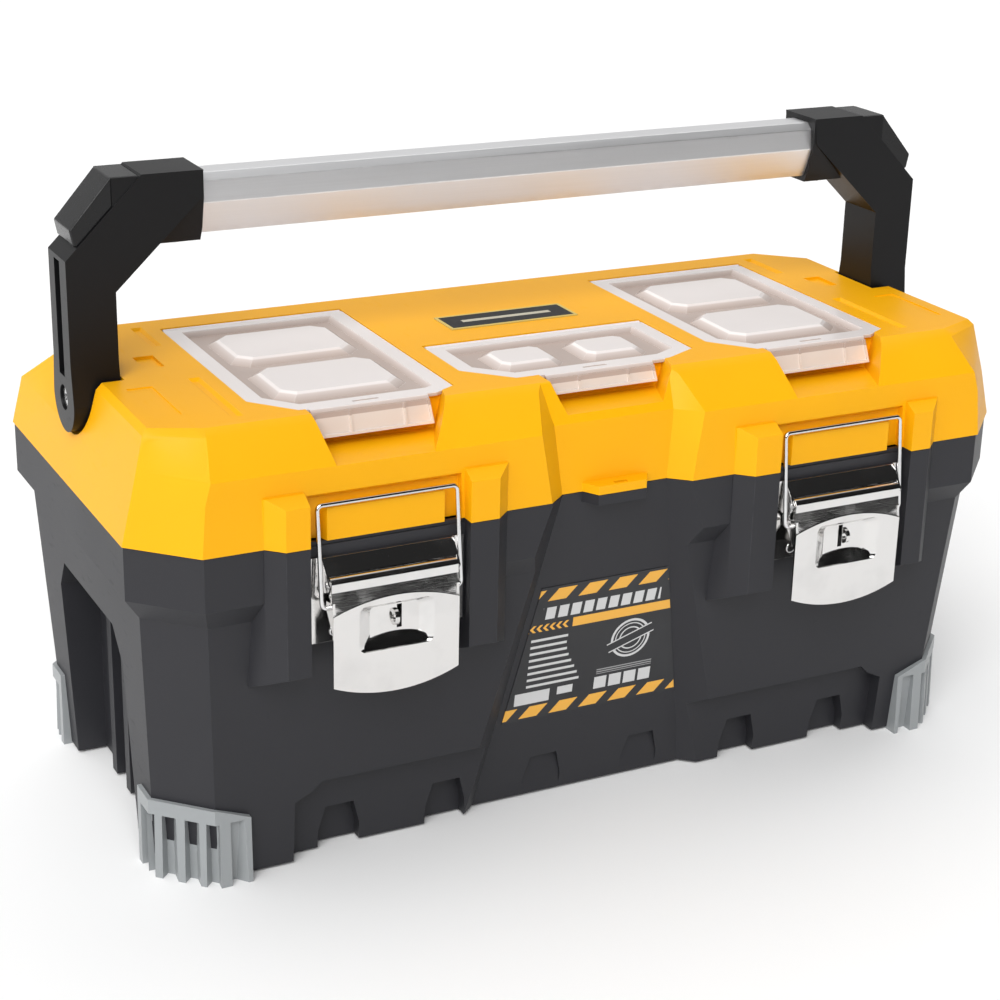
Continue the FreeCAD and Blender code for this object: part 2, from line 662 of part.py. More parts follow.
def lid():
    outer = lid_body(0.0, PARTING_Z, TOP_Z)
    outer = outer.cut(front_notches(0.0) + [lid_panel_cut(0.0)] + both_sides(latch_recess(0.0)))
    blocks = []
    for rib in latch_ribs(PARTING_Z, RIB_TOP_Z, -HALF_D + WALL + 4.0, RIB_FLANK + 2.0, 0.0):
        top_slope = prism_x([(-HALF_D - RIB_OUT - 1, RIB_TOP_Z - 6.0),
                             (-HALF_D - RIB_OUT - 1, RIB_TOP_Z + 5.0),
                             (-HALF_D + 8.0, RIB_TOP_Z + 5.0)], 0.0, HALF_L)
        blocks += both_sides(rib.cut(top_slope))
    root_y = RECESS_DEEP - HALF_D + 1.0
    block_ring = [(LATCH_X - CATCH_HALF, -CATCH_FACE), (LATCH_X + CATCH_HALF, -CATCH_FACE),
                  (LATCH_X + CATCH_HALF + CATCH_FLANK, root_y),
                  (LATCH_X - CATCH_HALF - CATCH_FLANK, root_y)]
    blocks += both_sides(plate(block_ring, CATCH_LOW, CATCH_TOP))
    outer = fuse(outer, *blocks)

    hollow = lid_body(WALL, PARTING_Z - 1.0, TOP_Z - WALL)
    sunk = [lid_panel_cut(WALL)] + both_sides(latch_recess(WALL))
    hollow = hollow.cut(both_sides(valley(WALL)) + front_notches(WALL) + sunk)
    shell = outer.cut([hollow] + both_sides(valley(0.0)))

    boss = rod_x(ARM_IN_X - 22.0, ARM_IN_X - 1.5, 0.0, PIVOT_Z, 10.0)
    ridges = [padlock_ear(PARTING_Z, PARTING_Z + 6.0)]
    shell = fuse(shell, *(both_sides(boss) + hinge_knuckles(True) + ridges + seat_frames()))
    cuts = cover_seats()
    cuts += both_sides(rod_x(ARM_IN_X - 16.0, HALF_L, 0.0, PIVOT_Z, PIVOT_R))
    cuts.append(rod_x(-HALF_L, HALF_L, HINGE_Y, PARTING_Z, HINGE_PIN_R + RUN_FIT))
    cuts.append(padlock_hole())
    cuts += both_sides(box(HALF_L - 70.0, HALF_L - 56.0, -7.0, 19.0, TOP_Z - WALL * 0.7, TOP_Z + 1.0))
    for y0, y1 in GROOVE_SPANS:
        cuts += both_sides(tapered_groove(GROOVE_X, y0, y1))
    cuts += both_sides(box(HALF_L - 49.0, HALF_L - 32.0, 62.0 - HALF_D, -44.0, TOP_Z - 0.8, TOP_Z + 1.0))
    cuts.append(box(-BADGE_HALF_X - 0.1, BADGE_HALF_X + 0.1, BADGE_Y0 - 0.1, BADGE_Y1 + 0.1, TOP_Z - 1.0,
                    TOP_Z + 1))
    return shell.cut(cuts + front_notches(0.0))




def cover_places():
    """Each cover as (x of its middle, half width, rear edge)."""
    return [(SIDE_COVER_X, SIDE_COVER_HALF, SIDE_COVER_REAR),
            (-SIDE_COVER_X, SIDE_COVER_HALF, SIDE_COVER_REAR),
            (0.0, MID_COVER_HALF, MID_COVER_REAR)]


# ---------------------------------------------------------------- organizer covers and bins
def pillow(x, y, half_x, half_y, base_z):
    """Raised, hollow, bevelled pad of a cover, as (outside, inside)."""
    def ring(hx, hy):
        c = min(hx, hy) * 0.3
        return [(x + px, y + py) for px, py in octagon(hx, hy, c)]
    outside = loft((base_z, ring(half_x, half_y)), (base_z + 4.6, ring(half_x - 7.0, half_y - 7.0)))
    inside = loft((base_z - 2.0, ring(half_x - 0.6, half_y - 0.6)),
                  (base_z + 3.2, ring(half_x - 8.6, half_y - 8.6)))
    return outside, inside


def finger_tab(x, front, high, tab, rib_places):
    """Tab hanging from a cover's front edge, with a rim and two ribs on its face."""
    (top_left, top_right), (foot_left, foot_right), drop = tab
    foot = high - drop
    def outline(trim):
        return [(x + (top_left + trim) * SPREAD, high + 1.0),
                (x + (foot_left + trim) * SPREAD, foot + trim),
                (x + (foot_right - trim) * SPREAD, foot + trim),
                (x + (top_right - trim) * SPREAD, high + 1.0)]
    def section(skin_back, skin_front):
        lean = 5.0 * drop / 17.5
        return [(front - 1.0 - skin_back, high - 3.0), (front - 1.0 - lean - skin_back, foot - 1.0),
                (front - 1.0 - lean - skin_front, foot - 1.0), (front - 1.0 - skin_front, high - 2.0)]
    left, right = x - SIDE_COVER_HALF, x + SIDE_COVER_HALF
    neck = prism_x([(front + 0.5, high), (front + 0.5, high - COVER_THICK), (front - 1.0, high - 3.2),
                    (front - 2.8, high - 2.2), (front - 1.5, high)], left, right)
    sheet = prism_x(section(0.0, TAB_SHEET), left, right)
    rim = prism_x(section(TAB_SHEET / 2, TAB_RIM), left,
                  right).cut(prism_y(outline(1.6), front - 20.0, front + 20.0))
    blade = fuse(neck, sheet, rim).common(prism_y(outline(0.0), front - 20.0, front + 20.0))
    ribs = []
    for place in rib_places:
        rib_x = x + place * SPREAD
        ribs.append(prism_x(section(TAB_SHEET / 2, TAB_RIM), rib_x, rib_x + 1.6))
    ribs = [rib.common(prism_y(outline(0.5), front - 20.0, front + 20.0)) for rib in ribs]
    return fuse(blade, *ribs), x + (top_left + top_right) / 2 * SPREAD


def cover(trimmed, x, half, front, rear, pads, tab, rib_places):
    """One organizer cover, closed, with its barrel along the rear edge."""
    low = TOP_Z - COVER_SINK + FREE_GAP
    high = low + COVER_THICK
    flange = plate(trimmed, low, high)
    clear = box(x - half - 1.0, x + half + 1.0, rear - COVER_PIN_BACK - COVER_BARREL_R, rear + 1.0,
                low - 1.0, high + 1.0)
    flange = flange.cut(clear)
    window = plate(inset(trimmed, COVER_FLANGE + 2.5), low - 1.0, high + 1.0)
    panel_low = low - 3.0
    dish = loft((panel_low, inset(trimmed, COVER_FLANGE + 4.0)),
                (high - 0.4, inset(trimmed, COVER_FLANGE + 1.0)))
    dish_in = loft((panel_low + 1.6, inset(trimmed, COVER_FLANGE + 5.6)),
                   (high + 0.2, inset(trimmed, COVER_FLANGE + 2.4)))
    body = fuse(flange.cut(window), dish).cut(dish_in)
    for px, py, hx, hy in pads:
        outside, inside = pillow(px, py, hx, hy, panel_low + 1.6)
        body = fuse(body, outside).cut(inside)
    pin_y = rear - COVER_PIN_BACK
    barrel = rod_x(x - half + 1.0, x + half - 1.0, pin_y, COVER_PIN_Z, COVER_BARREL_R)
    bridge = box(x - half + 1.0, x + half - 1.0, pin_y - COVER_BARREL_R - 3.0, pin_y, low,
                 COVER_PIN_Z + 0.8)
    blade, slot_x = finger_tab(x, front, high, tab, rib_places)
    body = fuse(body, barrel, bridge, blade)
    slot = box(slot_x - 9.0, slot_x + 9.0, front + 3.5, front + 5.5, low - 1.0, high + 1.0)
    bore = rod_x(x - half, x + half, pin_y, COVER_PIN_Z, COVER_PIN_R + RUN_FIT)
    return body.cut([slot, bore])


def side_cover(x):
    length = SIDE_COVER_REAR - SIDE_COVER_FRONT
    pad_half_x = SIDE_COVER_HALF - COVER_FLANGE - 12.0
    pads = [(x, SIDE_COVER_FRONT + length * share, pad_half_x, length * 0.17) for share in (0.30, 0.70)]
    return cover(side_outline(x, 0.0), x, SIDE_COVER_HALF, SIDE_COVER_FRONT, SIDE_COVER_REAR, pads,
                 SIDE_TAB,
                 SIDE_TAB_RIBS)


def mid_cover():
    y = (MID_COVER_FRONT + MID_COVER_REAR) / 2
    pads = [(px * SPREAD, y, 25.0 * SPREAD, 21.0) for px in (-32.0, 33.0)]
    return cover(mid_outline(0.0, 0.0), 0.0, MID_COVER_HALF, MID_COVER_FRONT, MID_COVER_REAR, pads, MID_TAB,
                 MID_TAB_RIBS)


def organizer_bin(x, outline, dividers):
    """Open bin under an opening of the lid, with cross walls."""
    top = TOP_Z - SEAT_FRAME
    outer = plate(outline(x, -COVER_FLANGE + BIN_WALL), top - BIN_DEPTH, top)
    inner = plate(outline(x, -COVER_FLANGE), top - BIN_DEPTH + BIN_WALL, top + 1.0)
    shell = outer.cut(inner)
    room = plate(outline(x, -COVER_FLANGE + BIN_WALL / 2), top - BIN_DEPTH, top - 3.0)
    walls = [room.common(box(*divider, top - BIN_DEPTH, top - 3.0)) for divider in dividers]
    return fuse(shell, *walls)


def side_bin(x):
    y = (SIDE_COVER_FRONT + SIDE_COVER_REAR) / 2
    half = BIN_WALL / 2
    return organizer_bin(x, side_outline, [(-HALF_L, HALF_L, y - half, y + half),
                                           (x - half, x + half, y, HALF_D)])


def mid_bin():
    half = BIN_WALL / 2
    return organizer_bin(0.0, mid_outline, [(-half, half, -HALF_D, HALF_D)])


def cover_pin(x, half, rear):
    reach = half + COVER_PIN_HOLD - FREE_GAP
    return rod_x(x - reach, x + reach, rear - COVER_PIN_BACK, COVER_PIN_Z, COVER_PIN_R)


# ---------------------------------------------------------------- latches, drawn for the right one


def latch_plate():
    back = -PAD_FACE
    face = back - PLATE_THICK
    sheet = box(LATCH_X - PLATE_HALF, LATCH_X + PLATE_HALF, face, back, PAD_LOW + 1.0, HOOD_TOP)
    parts = [sheet]
    for side in (-1, 1):
        x0 = LATCH_X + side * EAR_HALF
        x1 = x0 + side * EAR_THICK
        ear = prism_x([(face + 1.0, PIN_Z + 14.0), (PIN_Y, PIN_Z + 5.5), (PIN_Y - 4.0, PIN_Z),
                       (PIN_Y, PIN_Z - 5.5), (face + 1.0, PIN_Z - 9.0)], min(x0, x1), max(x0, x1))
        parts.append(ear)
    hood_low = (PIN_Y + 1.5, PIN_Z + 5.6)
    hood = prism_x([(face + 0.5, HOOD_TOP), (face - 1.8, HOOD_TOP), (face - 3.6, HOOD_TOP - 2.4),
                    (hood_low[0] - 1.6, hood_low[1]), hood_low, (face + 0.5, HOOD_TOP - 5.0)],
                   LATCH_X - EAR_HALF - EAR_THICK, LATCH_X + EAR_HALF + EAR_THICK)
    body = fuse(*parts, hood)
    holes = [rod_x(LATCH_X - PLATE_HALF, LATCH_X + PLATE_HALF, PIN_Y, PIN_Z, LATCH_PIN_R + RUN_FIT)]
    for x, z in rivet_places():
        holes.append(Part.makeCylinder(RIVET_R, 30.0, V(x, back - 10.0, z), V(0, 1, 0)))
    return body.cut(holes)


def latch_rivets():
    rivets = []
    face = -PAD_FACE - PLATE_THICK
    for x, z in rivet_places():
        shank = Part.makeCylinder(RIVET_R, PLATE_THICK + 9.0, V(x, face, z), V(0, 1, 0))
        head = Part.makeCone(3.2, 3.8, 1.2, V(x, face - 1.2, z), V(0, 1, 0))
        rivets.append(fuse(shank, head))
    return Part.makeCompound(rivets)


def latch_pin():
    reach = EAR_HALF + EAR_THICK + PIN_PROUD
    return rod_x(LATCH_X - reach, LATCH_X + reach, PIN_Y, PIN_Z, LATCH_PIN_R)


def latch_lever():
    """Pressed lever: a barrel on the pin, an arched flat face with a dished middle and a curved lip."""
    face = -LEVER_FACE
    back = face + LEVER_THICK
    x0, x1 = LATCH_X - LEVER_HALF, LATCH_X + LEVER_HALF
    barrel = rod_x(x0, x1, PIN_Y, PIN_Z, LATCH_PIN_R + 2.6)
    waist = (PIN_Y - 3.3, PIN_Z - 5.0)
    crown = prism_x([(PIN_Y - 3.6, PIN_Z + 3.0), (PIN_Y - 4.6, PIN_Z), (PIN_Y - 4.9, PIN_Z - 4.4), waist,
                     (face, ARCH_LOW), (back, ARCH_LOW), (waist[0] + LEVER_THICK, waist[1]),
                     (PIN_Y, PIN_Z - 3.0)], x0, x1)
    low = LEVER_END_Z + 9.0
    sheet = box(x0, x1, face, back, low, ARCH_LOW)
    arch_ends = V(x0, face, ARCH_LOW), V(x1, face, ARCH_LOW)
    arch_rails = [Part.Arc(arch_ends[0], V(LATCH_X, face, ARCH_HIGH), arch_ends[1]).toShape(),
                  Part.LineSegment(arch_ends[1], arch_ends[0]).toShape()]
    arch = Part.Face(Part.Wire(arch_rails)).extrude(V(0, LEVER_THICK + 1.0, 0))
    drop = 9.5
    sag = 9.0
    lip_outline = [V(x0, face, low), V(x0, face, low - drop)]
    arc = Part.Arc(lip_outline[1], V(LATCH_X, face, low - drop - sag), V(x1, face, low - drop)).toShape()
    rails = [Part.LineSegment(lip_outline[0], lip_outline[1]).toShape(), arc,
             Part.LineSegment(V(x1, face, low - drop), V(x1, face, low)).toShape(),
             Part.LineSegment(V(x1, face, low), V(x0, face, low)).toShape()]
    lip = Part.Face(Part.Wire(rails)).extrude(V(0, LEVER_THICK, 0))
    parts = [barrel, crown, sheet, arch, lip]
    for side in (-1, 1):
        edge = LATCH_X + side * LEVER_HALF
        inner = edge - side * LEVER_THICK
        cheek = prism_x([(back - 0.5, PIN_Z - 11.0), (BAIL_PIVOT_Y + 4.0, BAIL_PIVOT_Z + 3.0),
                         (BAIL_PIVOT_Y + 4.0, BAIL_PIVOT_Z - 3.0), (back - 0.5, BAIL_PIVOT_Z - 16.0)],
                        min(edge, inner), max(edge, inner))
        parts.append(cheek)
    dish_low, dish_high = LEVER_END_Z + 19.0, LEVER_END_Z + 53.0
    pan = rounded_pad(DISH_HALF, dish_low, dish_high, 4.0, back - 0.4, back + DISH_DEEP)
    body = fuse(*parts, pan)
    floor_y = back + DISH_DEEP - LEVER_THICK
    mouth = front_wire(rounded_pad(DISH_HALF - 1.2, dish_low + 1.2, dish_high - 1.2, 5.0, face, back))
    floor = front_wire(rounded_pad(DISH_HALF - DISH_SLOPE, dish_low + 2.4, dish_high - 4.4, 3.0, floor_y,
                                   floor_y + 1.0))
    scoop = Part.makeLoft([mouth, floor], True, True)
    heel = Part.makeCylinder(SCOOP_R, 2 * HALF_D, V(LATCH_X, -HALF_D * 2, dish_low + 2.0 + 9.0 - SCOOP_R),
                             V(0, 1, 0))
    tongue = prism_x([(face + 0.6, dish_low + 0.5), (floor_y + 0.1, dish_low + 0.5),
                      (floor_y + 0.1, dish_low + 13.0)],
                     LATCH_X - DISH_HALF + 0.7, LATCH_X + DISH_HALF - 0.7).common(heel)
    slot_low, slot_high = dish_low + 13.0, dish_high - 5.0
    key_slot = box(LATCH_X - 5.0, LATCH_X - 1.6, face, back + DISH_DEEP + 1.0, slot_low, slot_high)
    bore = rod_x(x0 - 1.0, x1 + 1.0, PIN_Y, PIN_Z, LATCH_PIN_R + RUN_FIT)
    ends = rod_x(x0 - 1.0, x1 + 1.0, BAIL_PIVOT_Y, BAIL_PIVOT_Z, WIRE_R + RUN_FIT)
    loop_z = (slot_low + slot_high) / 2
    loop = rod_x(LATCH_X - 1.4, LATCH_X + 1.4, floor_y, loop_z, LOOP_R)
    loop = loop.cut(box(LATCH_X - 5.0, LATCH_X + 5.0, floor_y + 0.5, floor_y + 20.0, dish_low, dish_high))
    loop = loop.cut(rod_x(LATCH_X - 5.0, LATCH_X + 5.0, floor_y - 2.4, loop_z, LOOP_R * 0.45))
    return fuse(body.cut([scoop, key_slot, bore, ends]), tongue, loop)


def rounded_pad(half, z0, z1, corner, y0, y1):
    """Block centred on the right latch, with its corners rounded as seen from the front."""
    block = box(LATCH_X - half, LATCH_X + half, y0, y1, z0, z1)
    upright = [edge for edge in block.Edges if abs(edge.Vertexes[0].Y - edge.Vertexes[1].Y) > 0.1]
    return block.makeFillet(corner, upright)


def front_wire(block):
    return min(block.Faces, key=lambda face: face.CenterOfMass.y).OuterWire


def wire_solid(points, bend_r):
    """Round wire through the points, with a tangent arc at each bend."""
    edges = []
    start = points[0]
    for i in range(1, len(points) - 1):
        corner = points[i]
        to_back = (points[i - 1] - corner).normalize()
        to_next = (points[i + 1] - corner).normalize()
        half_angle = to_back.getAngle(to_next) / 2
        setback = bend_r / math.tan(half_angle)
        first = corner + to_back * setback
        last = corner + to_next * setback
        inward = (to_back + to_next).normalize()
        middle = corner + inward * (bend_r / math.sin(half_angle) - bend_r)
        edges.append(Part.LineSegment(start, first).toShape())
        edges.append(Part.Arc(first, middle, last).toShape())
        start = last
    edges.append(Part.LineSegment(start, points[-1]).toShape())
    spine = Part.Wire(edges)
    section = Part.Wire(Part.Circle(points[0], (points[1] - points[0]).normalize(), WIRE_R).toShape())
    return spine.makePipeShell([section], True, False)


def latch_bail():
    tip = LEVER_HALF - LEVER_THICK - 0.6
    ring = []
    for side in (-1, 1):
        foot = [V(LATCH_X + side * tip, BAIL_PIVOT_Y, BAIL_PIVOT_Z),
                V(LATCH_X + side * BAIL_HALF, BAIL_PIVOT_Y, BAIL_PIVOT_Z),
                V(LATCH_X + side * BAIL_HALF, BAIL_TOP_Y, BAIL_TOP_Z)]
        ring += foot if side < 0 else foot[::-1]
    return wire_solid(ring, 3.4)


# ---------------------------------------------------------------- carry handle


def bar_profile(shrink):
    """Faceted section of the bar, as (y, z), narrowed by `shrink`."""
    s = shrink
    top, low = BAR_TOP_Z - 4.0 - s, BAR_TOP_Z - 44.0 + s
    half = 16.3 - s
    front = [(-half + 7.0, top), (-half + 2.2, top - 4.5), (-half, top - 18.5), (-half + 4.6, low + 7.5),
             (-half + 8.5, low)]
    return front + [(-y, z) for y, z in reversed(front)]


def handle_bar():
    tube = prism_x(bar_profile(0.0), -BAR_END_X, BAR_END_X)
    bore = prism_x(bar_profile(2.2), -BAR_END_X - 1.0, BAR_END_X + 1.0)
    holes = both_sides(Part.makeCylinder(1.8, 6.0, V(SCREW_X, 0, BAR_TOP_Z - 46.0)))
    return tube.cut([bore] + holes)




def arm_side_profile():
    """Outline of an arm seen from its end, as (y, z) edges in one face."""
    top = BAR_TOP_Z
    shoulder = PIVOT_Z + 26.0
    points = [V(0, ARM_HALF_TOP, shoulder), V(0, ARM_HALF_TOP, top), V(0, -ARM_HALF_TOP, top),
              V(0, -ARM_HALF_TOP, shoulder),
              V(0, -ARM_END_R, PIVOT_Z)]
    edges = [Part.LineSegment(a, b).toShape() for a, b in zip(points, points[1:])]
    edges.append(Part.Arc(points[-1], V(0, 0, PIVOT_Z - ARM_END_R), V(0, ARM_END_R, PIVOT_Z)).toShape())
    edges.append(Part.LineSegment(V(0, ARM_END_R, PIVOT_Z), points[0]).toShape())
    return Part.Face(Part.Wire(edges))


def handle_arm():
    top = BAR_TOP_Z
    elbow = [(MOUTH_X, top), (ARM_OUT_X - ELBOW_CUT, top), (ARM_OUT_X, top - ELBOW_CUT),
             (ARM_OUT_X, PIVOT_Z - 30.0),
             (ARM_IN_X, PIVOT_Z - 30.0), (ARM_IN_X, top - 74.5), (MOUTH_X + 2.0, top - 18.5)]
    slab = prism_y(elbow, -30.0, 30.0)
    arm = slab.common(arm_side_profile().extrude(V(HALF_L, 0, 0)))
    socket_xz = [(MOUTH_X, top - 1.0), (ARM_IN_X, top - 1.0), (ARM_IN_X, top - 76.0),
                 (ARM_IN_X - 33.0, top - 43.0 - BAR_WALL),
                 (MOUTH_X, top - 43.0 - BAR_WALL)]
    socket_yz = [(-19.2, top - 1.0), (-19.2, top - 18.5), (-14.5, top - 39.0), (-10.0, top - 48.0),
                 (10.0, top - 48.0),
                 (14.5, top - 39.0), (19.2, top - 18.5), (19.2, top - 1.0)]
    socket = prism_y(socket_xz, -30.0, 30.0).common(prism_x(socket_yz, 0.0, HALF_L))
    arm = fuse(arm, socket)
    seat = prism_x(bar_profile(-0.15), MOUTH_X - 1.0, BAR_END_X + 0.5)
    channel = box(ARM_OUT_X - 12.0, ARM_OUT_X + 1.0, -5.0, 7.0, PIVOT_Z + 15.0, PIVOT_Z + 92.0)
    bore = rod_x(ARM_IN_X - 1.0, ARM_OUT_X + 1.0, 0.0, PIVOT_Z, PIVOT_R + RUN_FIT)
    counterbore = rod_x(ARM_OUT_X - 6.0, ARM_OUT_X + 1.0, 0.0, PIVOT_Z, 8.5)
    cap_room = handle_cap(FREE_GAP / 4)
    screw = Part.makeCylinder(2.2, 20.0, V(SCREW_X, 0, top - 56.0))
    return arm.cut([seat, channel, bore, counterbore, cap_room, screw])




def handle_cap(grow):
    """Bumper on the arm's bevelled outer corner; `grow` gives the seat that it fills."""
    top = BAR_TOP_Z
    bevel_x = ARM_OUT_X - ELBOW_CUT
    bevel_z = top - ELBOW_CUT
    outer = [(bevel_x + 1.5 - grow, top - 0.8), (bevel_x + 20.0, top - 0.8), (ARM_OUT_X - 4.0, top - 32.5),
             (ARM_OUT_X - 6.0, bevel_z + 9.0)]
    inner = [(ARM_OUT_X - 9.0 - CAP_SEAT - grow, bevel_z + 9.0 - CAP_SEAT - grow),
             (bevel_x + 1.5 - CAP_SEAT - grow, top - 1.5 - CAP_SEAT - grow)]
    half = ARM_HALF_TOP - CAP_SET_BACK + grow
    return prism_y(outer + inner, -half, half)


def handle_pivot():
    shank = rod_x(ARM_IN_X - 16.0, ARM_OUT_X - 5.6, 0.0, PIVOT_Z, PIVOT_R)
    head = rod_x(ARM_OUT_X - 5.6, ARM_OUT_X - 1.6, 0.0, PIVOT_Z, 7.5)
    drive = rod_x(ARM_OUT_X - 3.6, ARM_OUT_X, 0.0, PIVOT_Z, 2.4)
    return fuse(shank, head).cut(drive)


def handle_screw():
    z = BAR_TOP_Z - 48.0
    shank = Part.makeCylinder(1.8, 12.0, V(SCREW_X, 0, z))
    head = Part.makeCylinder(3.6, 2.0, V(SCREW_X, 0, z - 2.0))
    return fuse(shank, head)


# ---------------------------------------------------------------- feet, label, badge, hinge pins


def corner_foot():
    """Ribbed corner shoe at the right front, under and around the box's corner."""
    def ring(z, proud):
        return octagon(wall_end(z) + proud, wall_front(z) + proud + FOOT_SKIRT * (1 - z / FOOT_TOP),
                       CORNER_CUT_LOW + 1.0)
    full = loft((0.0, ring(0.0, FOOT_PROUD)), (FOOT_TOP, ring(FOOT_TOP, FOOT_PROUD_TOP)))
    deep = loft((-1.0, ring(0.0, FOOT_PROUD - RIB_DEEP)),
                (FOOT_TOP + 1.0, ring(FOOT_TOP, FOOT_PROUD_TOP - RIB_DEEP_TOP)))
    inner_x, inner_y = HALF_L - 73.0, HALF_D - 76.0
    corner = [(inner_x, -HALF_D - 9.0), (HALF_L, -HALF_D - 9.0), (HALF_L, -inner_y),
              (HALF_L - 32.0, -inner_y), (inner_x, 48.0 - HALF_D)]
    outline = ring(0.0, FOOT_PROUD)
    bend_front, bend_end = outline[0], outline[1]
    slant = prism_y([(inner_x - 1.0, FOOT_TOP - FOOT_DROP), (bend_front[0] - 2.0, FOOT_TOP),
                     (inner_x - 1.0, FOOT_TOP + 5.0)],
                    -HALF_D - 20.0, 60.0 - HALF_D)
    shoe = full.common(plate(corner, -1.0, FOOT_TOP + 5.0)).cut([slant, box_body(0.0, FOOT_LIFT, 120.0)])
    runs = [((inner_x, bend_front[1]), bend_front, 0.0, (0.47,)),
            (bend_front, bend_end, 45.0, (0.10, 0.42, 0.76)),
            (bend_end, (bend_end[0], -inner_y), 90.0, (0.18, 0.62))]
    groove = [(-SLOT_HALF - 2 * SLOT_SLOPE, -RIB_DEEP), (SLOT_HALF, -RIB_DEEP), (SLOT_HALF, RIB_DEEP),
              (-SLOT_HALF, RIB_DEEP)]
    slots = []
    for start, stop, angle, shares in runs:
        for share in shares:
            slot = plate(groove, -1.0, FOOT_TOP - FOOT_BAND)
            slot.rotate(V(0, 0, 0), V(0, 0, 1), angle)
            slot.translate(V(start[0] + (stop[0] - start[0]) * share,
                             start[1] + (stop[1] - start[1]) * share, 0))
            slots.append(slot.cut(deep))
    return shoe.cut(slots)


def front_label():
    """Thin label lying on the sunk front panel."""
    def ring(z, half):
        y = -panel_y(z)
        return [(LABEL_X - half, y - LABEL_THICK), (LABEL_X + half, y - LABEL_THICK), (LABEL_X + half, y),
                (LABEL_X - half, y)]
    return loft((LABEL_LOW, ring(LABEL_LOW, LABEL_HALF_LOW)),
                (LABEL_HIGH, ring(LABEL_HIGH, LABEL_HALF_HIGH)))




def lid_badge():
    return box(-BADGE_HALF_X, BADGE_HALF_X, BADGE_Y0, BADGE_Y1, TOP_Z - 1.0, TOP_Z + 0.8)


def hinge_pin():
    half = KNUCKLE / 2 + KNUCKLE_GAP + 18.0
    return rod_x(HINGE_X - half, HINGE_X + half, HINGE_Y, PARTING_Z, HINGE_PIN_R)


# ---------------------------------------------------------------- lift-out tray
def tray():
    """Open tray with cross walls and a raised spine with a hand hole."""
    z0 = TRAY_SEAT_Z
    z1 = z0 + TRAY_HEIGHT
    lean = 4.0
    def ring(shrink):
        return octagon(TRAY_HALF_LENGTH - shrink, TRAY_HALF_DEPTH - shrink, 20.0)
    outer = loft((z0, ring(lean)), (z1, ring(0.0)))
    inner = loft((z0 + TRAY_WALL, ring(lean + TRAY_WALL)), (z1 + 1.0, ring(TRAY_WALL)))
    shell = outer.cut(inner)
    room = loft((z0, ring(lean + TRAY_WALL / 2)), (z1, ring(TRAY_WALL / 2)))
    walls = []
    for x in [place * SPREAD for place in (-190.0, -95.0, 95.0, 190.0)]:
        walls.append(box(x - 1.0, x + 1.0, -HALF_D, HALF_D, z0, z1 - 6.0))
    walls.append(box(-HALF_L, HALF_L, -2.0, 2.0, z0, z1 - 6.0))
    walls = [wall.common(room) for wall in walls]
    grip_top = TOP_Z - SEAT_FRAME - BIN_DEPTH - 8.0
    spine = prism_y([(-95.0, z0), (-95.0, z1 - 8.0), (-70.0, grip_top), (70.0, grip_top), (95.0, z1 - 8.0),
                     (95.0, z0)], -6.0, 6.0)
    hand = prism_y([(-52.0, z0 + 34.0), (-46.0, grip_top - 12.0), (46.0, grip_top - 12.0),
                    (52.0, z0 + 34.0)],
                   -10.0, 10.0)
    return fuse(shell, spine, *walls).cut(hand)


# ---------------------------------------------------------------- build
save("lower_box", lower_box())
front_right = corner_foot()
for end, shape in (("front", front_right), ("rear", front_right.mirror(V(0, 0, 0), V(0, 1, 0)))):
    save_pair(f"corner_foot_{end}", shape)
save("front_label", front_label())
save_pair("latch_bed", latch_bed())
save_pair("lid_hinge_pin", hinge_pin())
save_pair("latch_plate", latch_plate())
save_pair("latch_rivets", latch_rivets())
save_pair("latch_pin", latch_pin())
save_pair("latch_lever", latch_lever())
save_pair("latch_bail", latch_bail())
save("lid", lid())
for side, x in (("right", SIDE_COVER_X), ("left", -SIDE_COVER_X)):
    save(f"organizer_bin_{side}", side_bin(x))
    save(f"organizer_cover_{side}", side_cover(x))
    save(f"organizer_pin_{side}", cover_pin(x, SIDE_COVER_HALF, SIDE_COVER_REAR))
save("organizer_bin_center", mid_bin())
save("organizer_cover_center", mid_cover())
save("organizer_pin_center", cover_pin(0.0, MID_COVER_HALF, MID_COVER_REAR))
save("lid_badge", lid_badge())
save_pair("handle_pivot", handle_pivot())
save_pair("handle_arm", handle_arm())
save_pair("handle_cap", handle_cap(0.0))
save_pair("handle_screw", handle_screw())
save("handle_bar", handle_bar())
save("tray", tray())
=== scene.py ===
"""Looks of the long toolbox: rounded copies of its parts, their finishes, light and camera."""
import json
import math

import bmesh
import bpy
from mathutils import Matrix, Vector


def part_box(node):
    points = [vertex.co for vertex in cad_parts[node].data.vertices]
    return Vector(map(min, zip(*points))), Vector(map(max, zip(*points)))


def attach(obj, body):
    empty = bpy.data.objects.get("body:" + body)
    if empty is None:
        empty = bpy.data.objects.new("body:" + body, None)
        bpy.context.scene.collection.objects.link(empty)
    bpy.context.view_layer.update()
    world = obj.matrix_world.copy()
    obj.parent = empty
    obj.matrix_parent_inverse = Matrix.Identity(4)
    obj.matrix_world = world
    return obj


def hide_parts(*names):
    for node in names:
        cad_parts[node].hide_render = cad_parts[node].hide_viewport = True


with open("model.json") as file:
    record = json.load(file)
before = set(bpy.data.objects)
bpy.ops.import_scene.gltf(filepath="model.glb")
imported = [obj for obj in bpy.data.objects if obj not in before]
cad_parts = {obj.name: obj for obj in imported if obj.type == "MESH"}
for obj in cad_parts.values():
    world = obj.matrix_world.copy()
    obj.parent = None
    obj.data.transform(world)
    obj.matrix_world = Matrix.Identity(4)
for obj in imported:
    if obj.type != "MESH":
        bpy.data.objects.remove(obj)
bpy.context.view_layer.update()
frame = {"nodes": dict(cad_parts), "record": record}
NODES = frame["nodes"]
SLOT_OF = {part["node"]: part["material_slot"] for part in frame["record"]["subparts"]}
BODIES = frame["record"]["behaviour"]["bodies"]
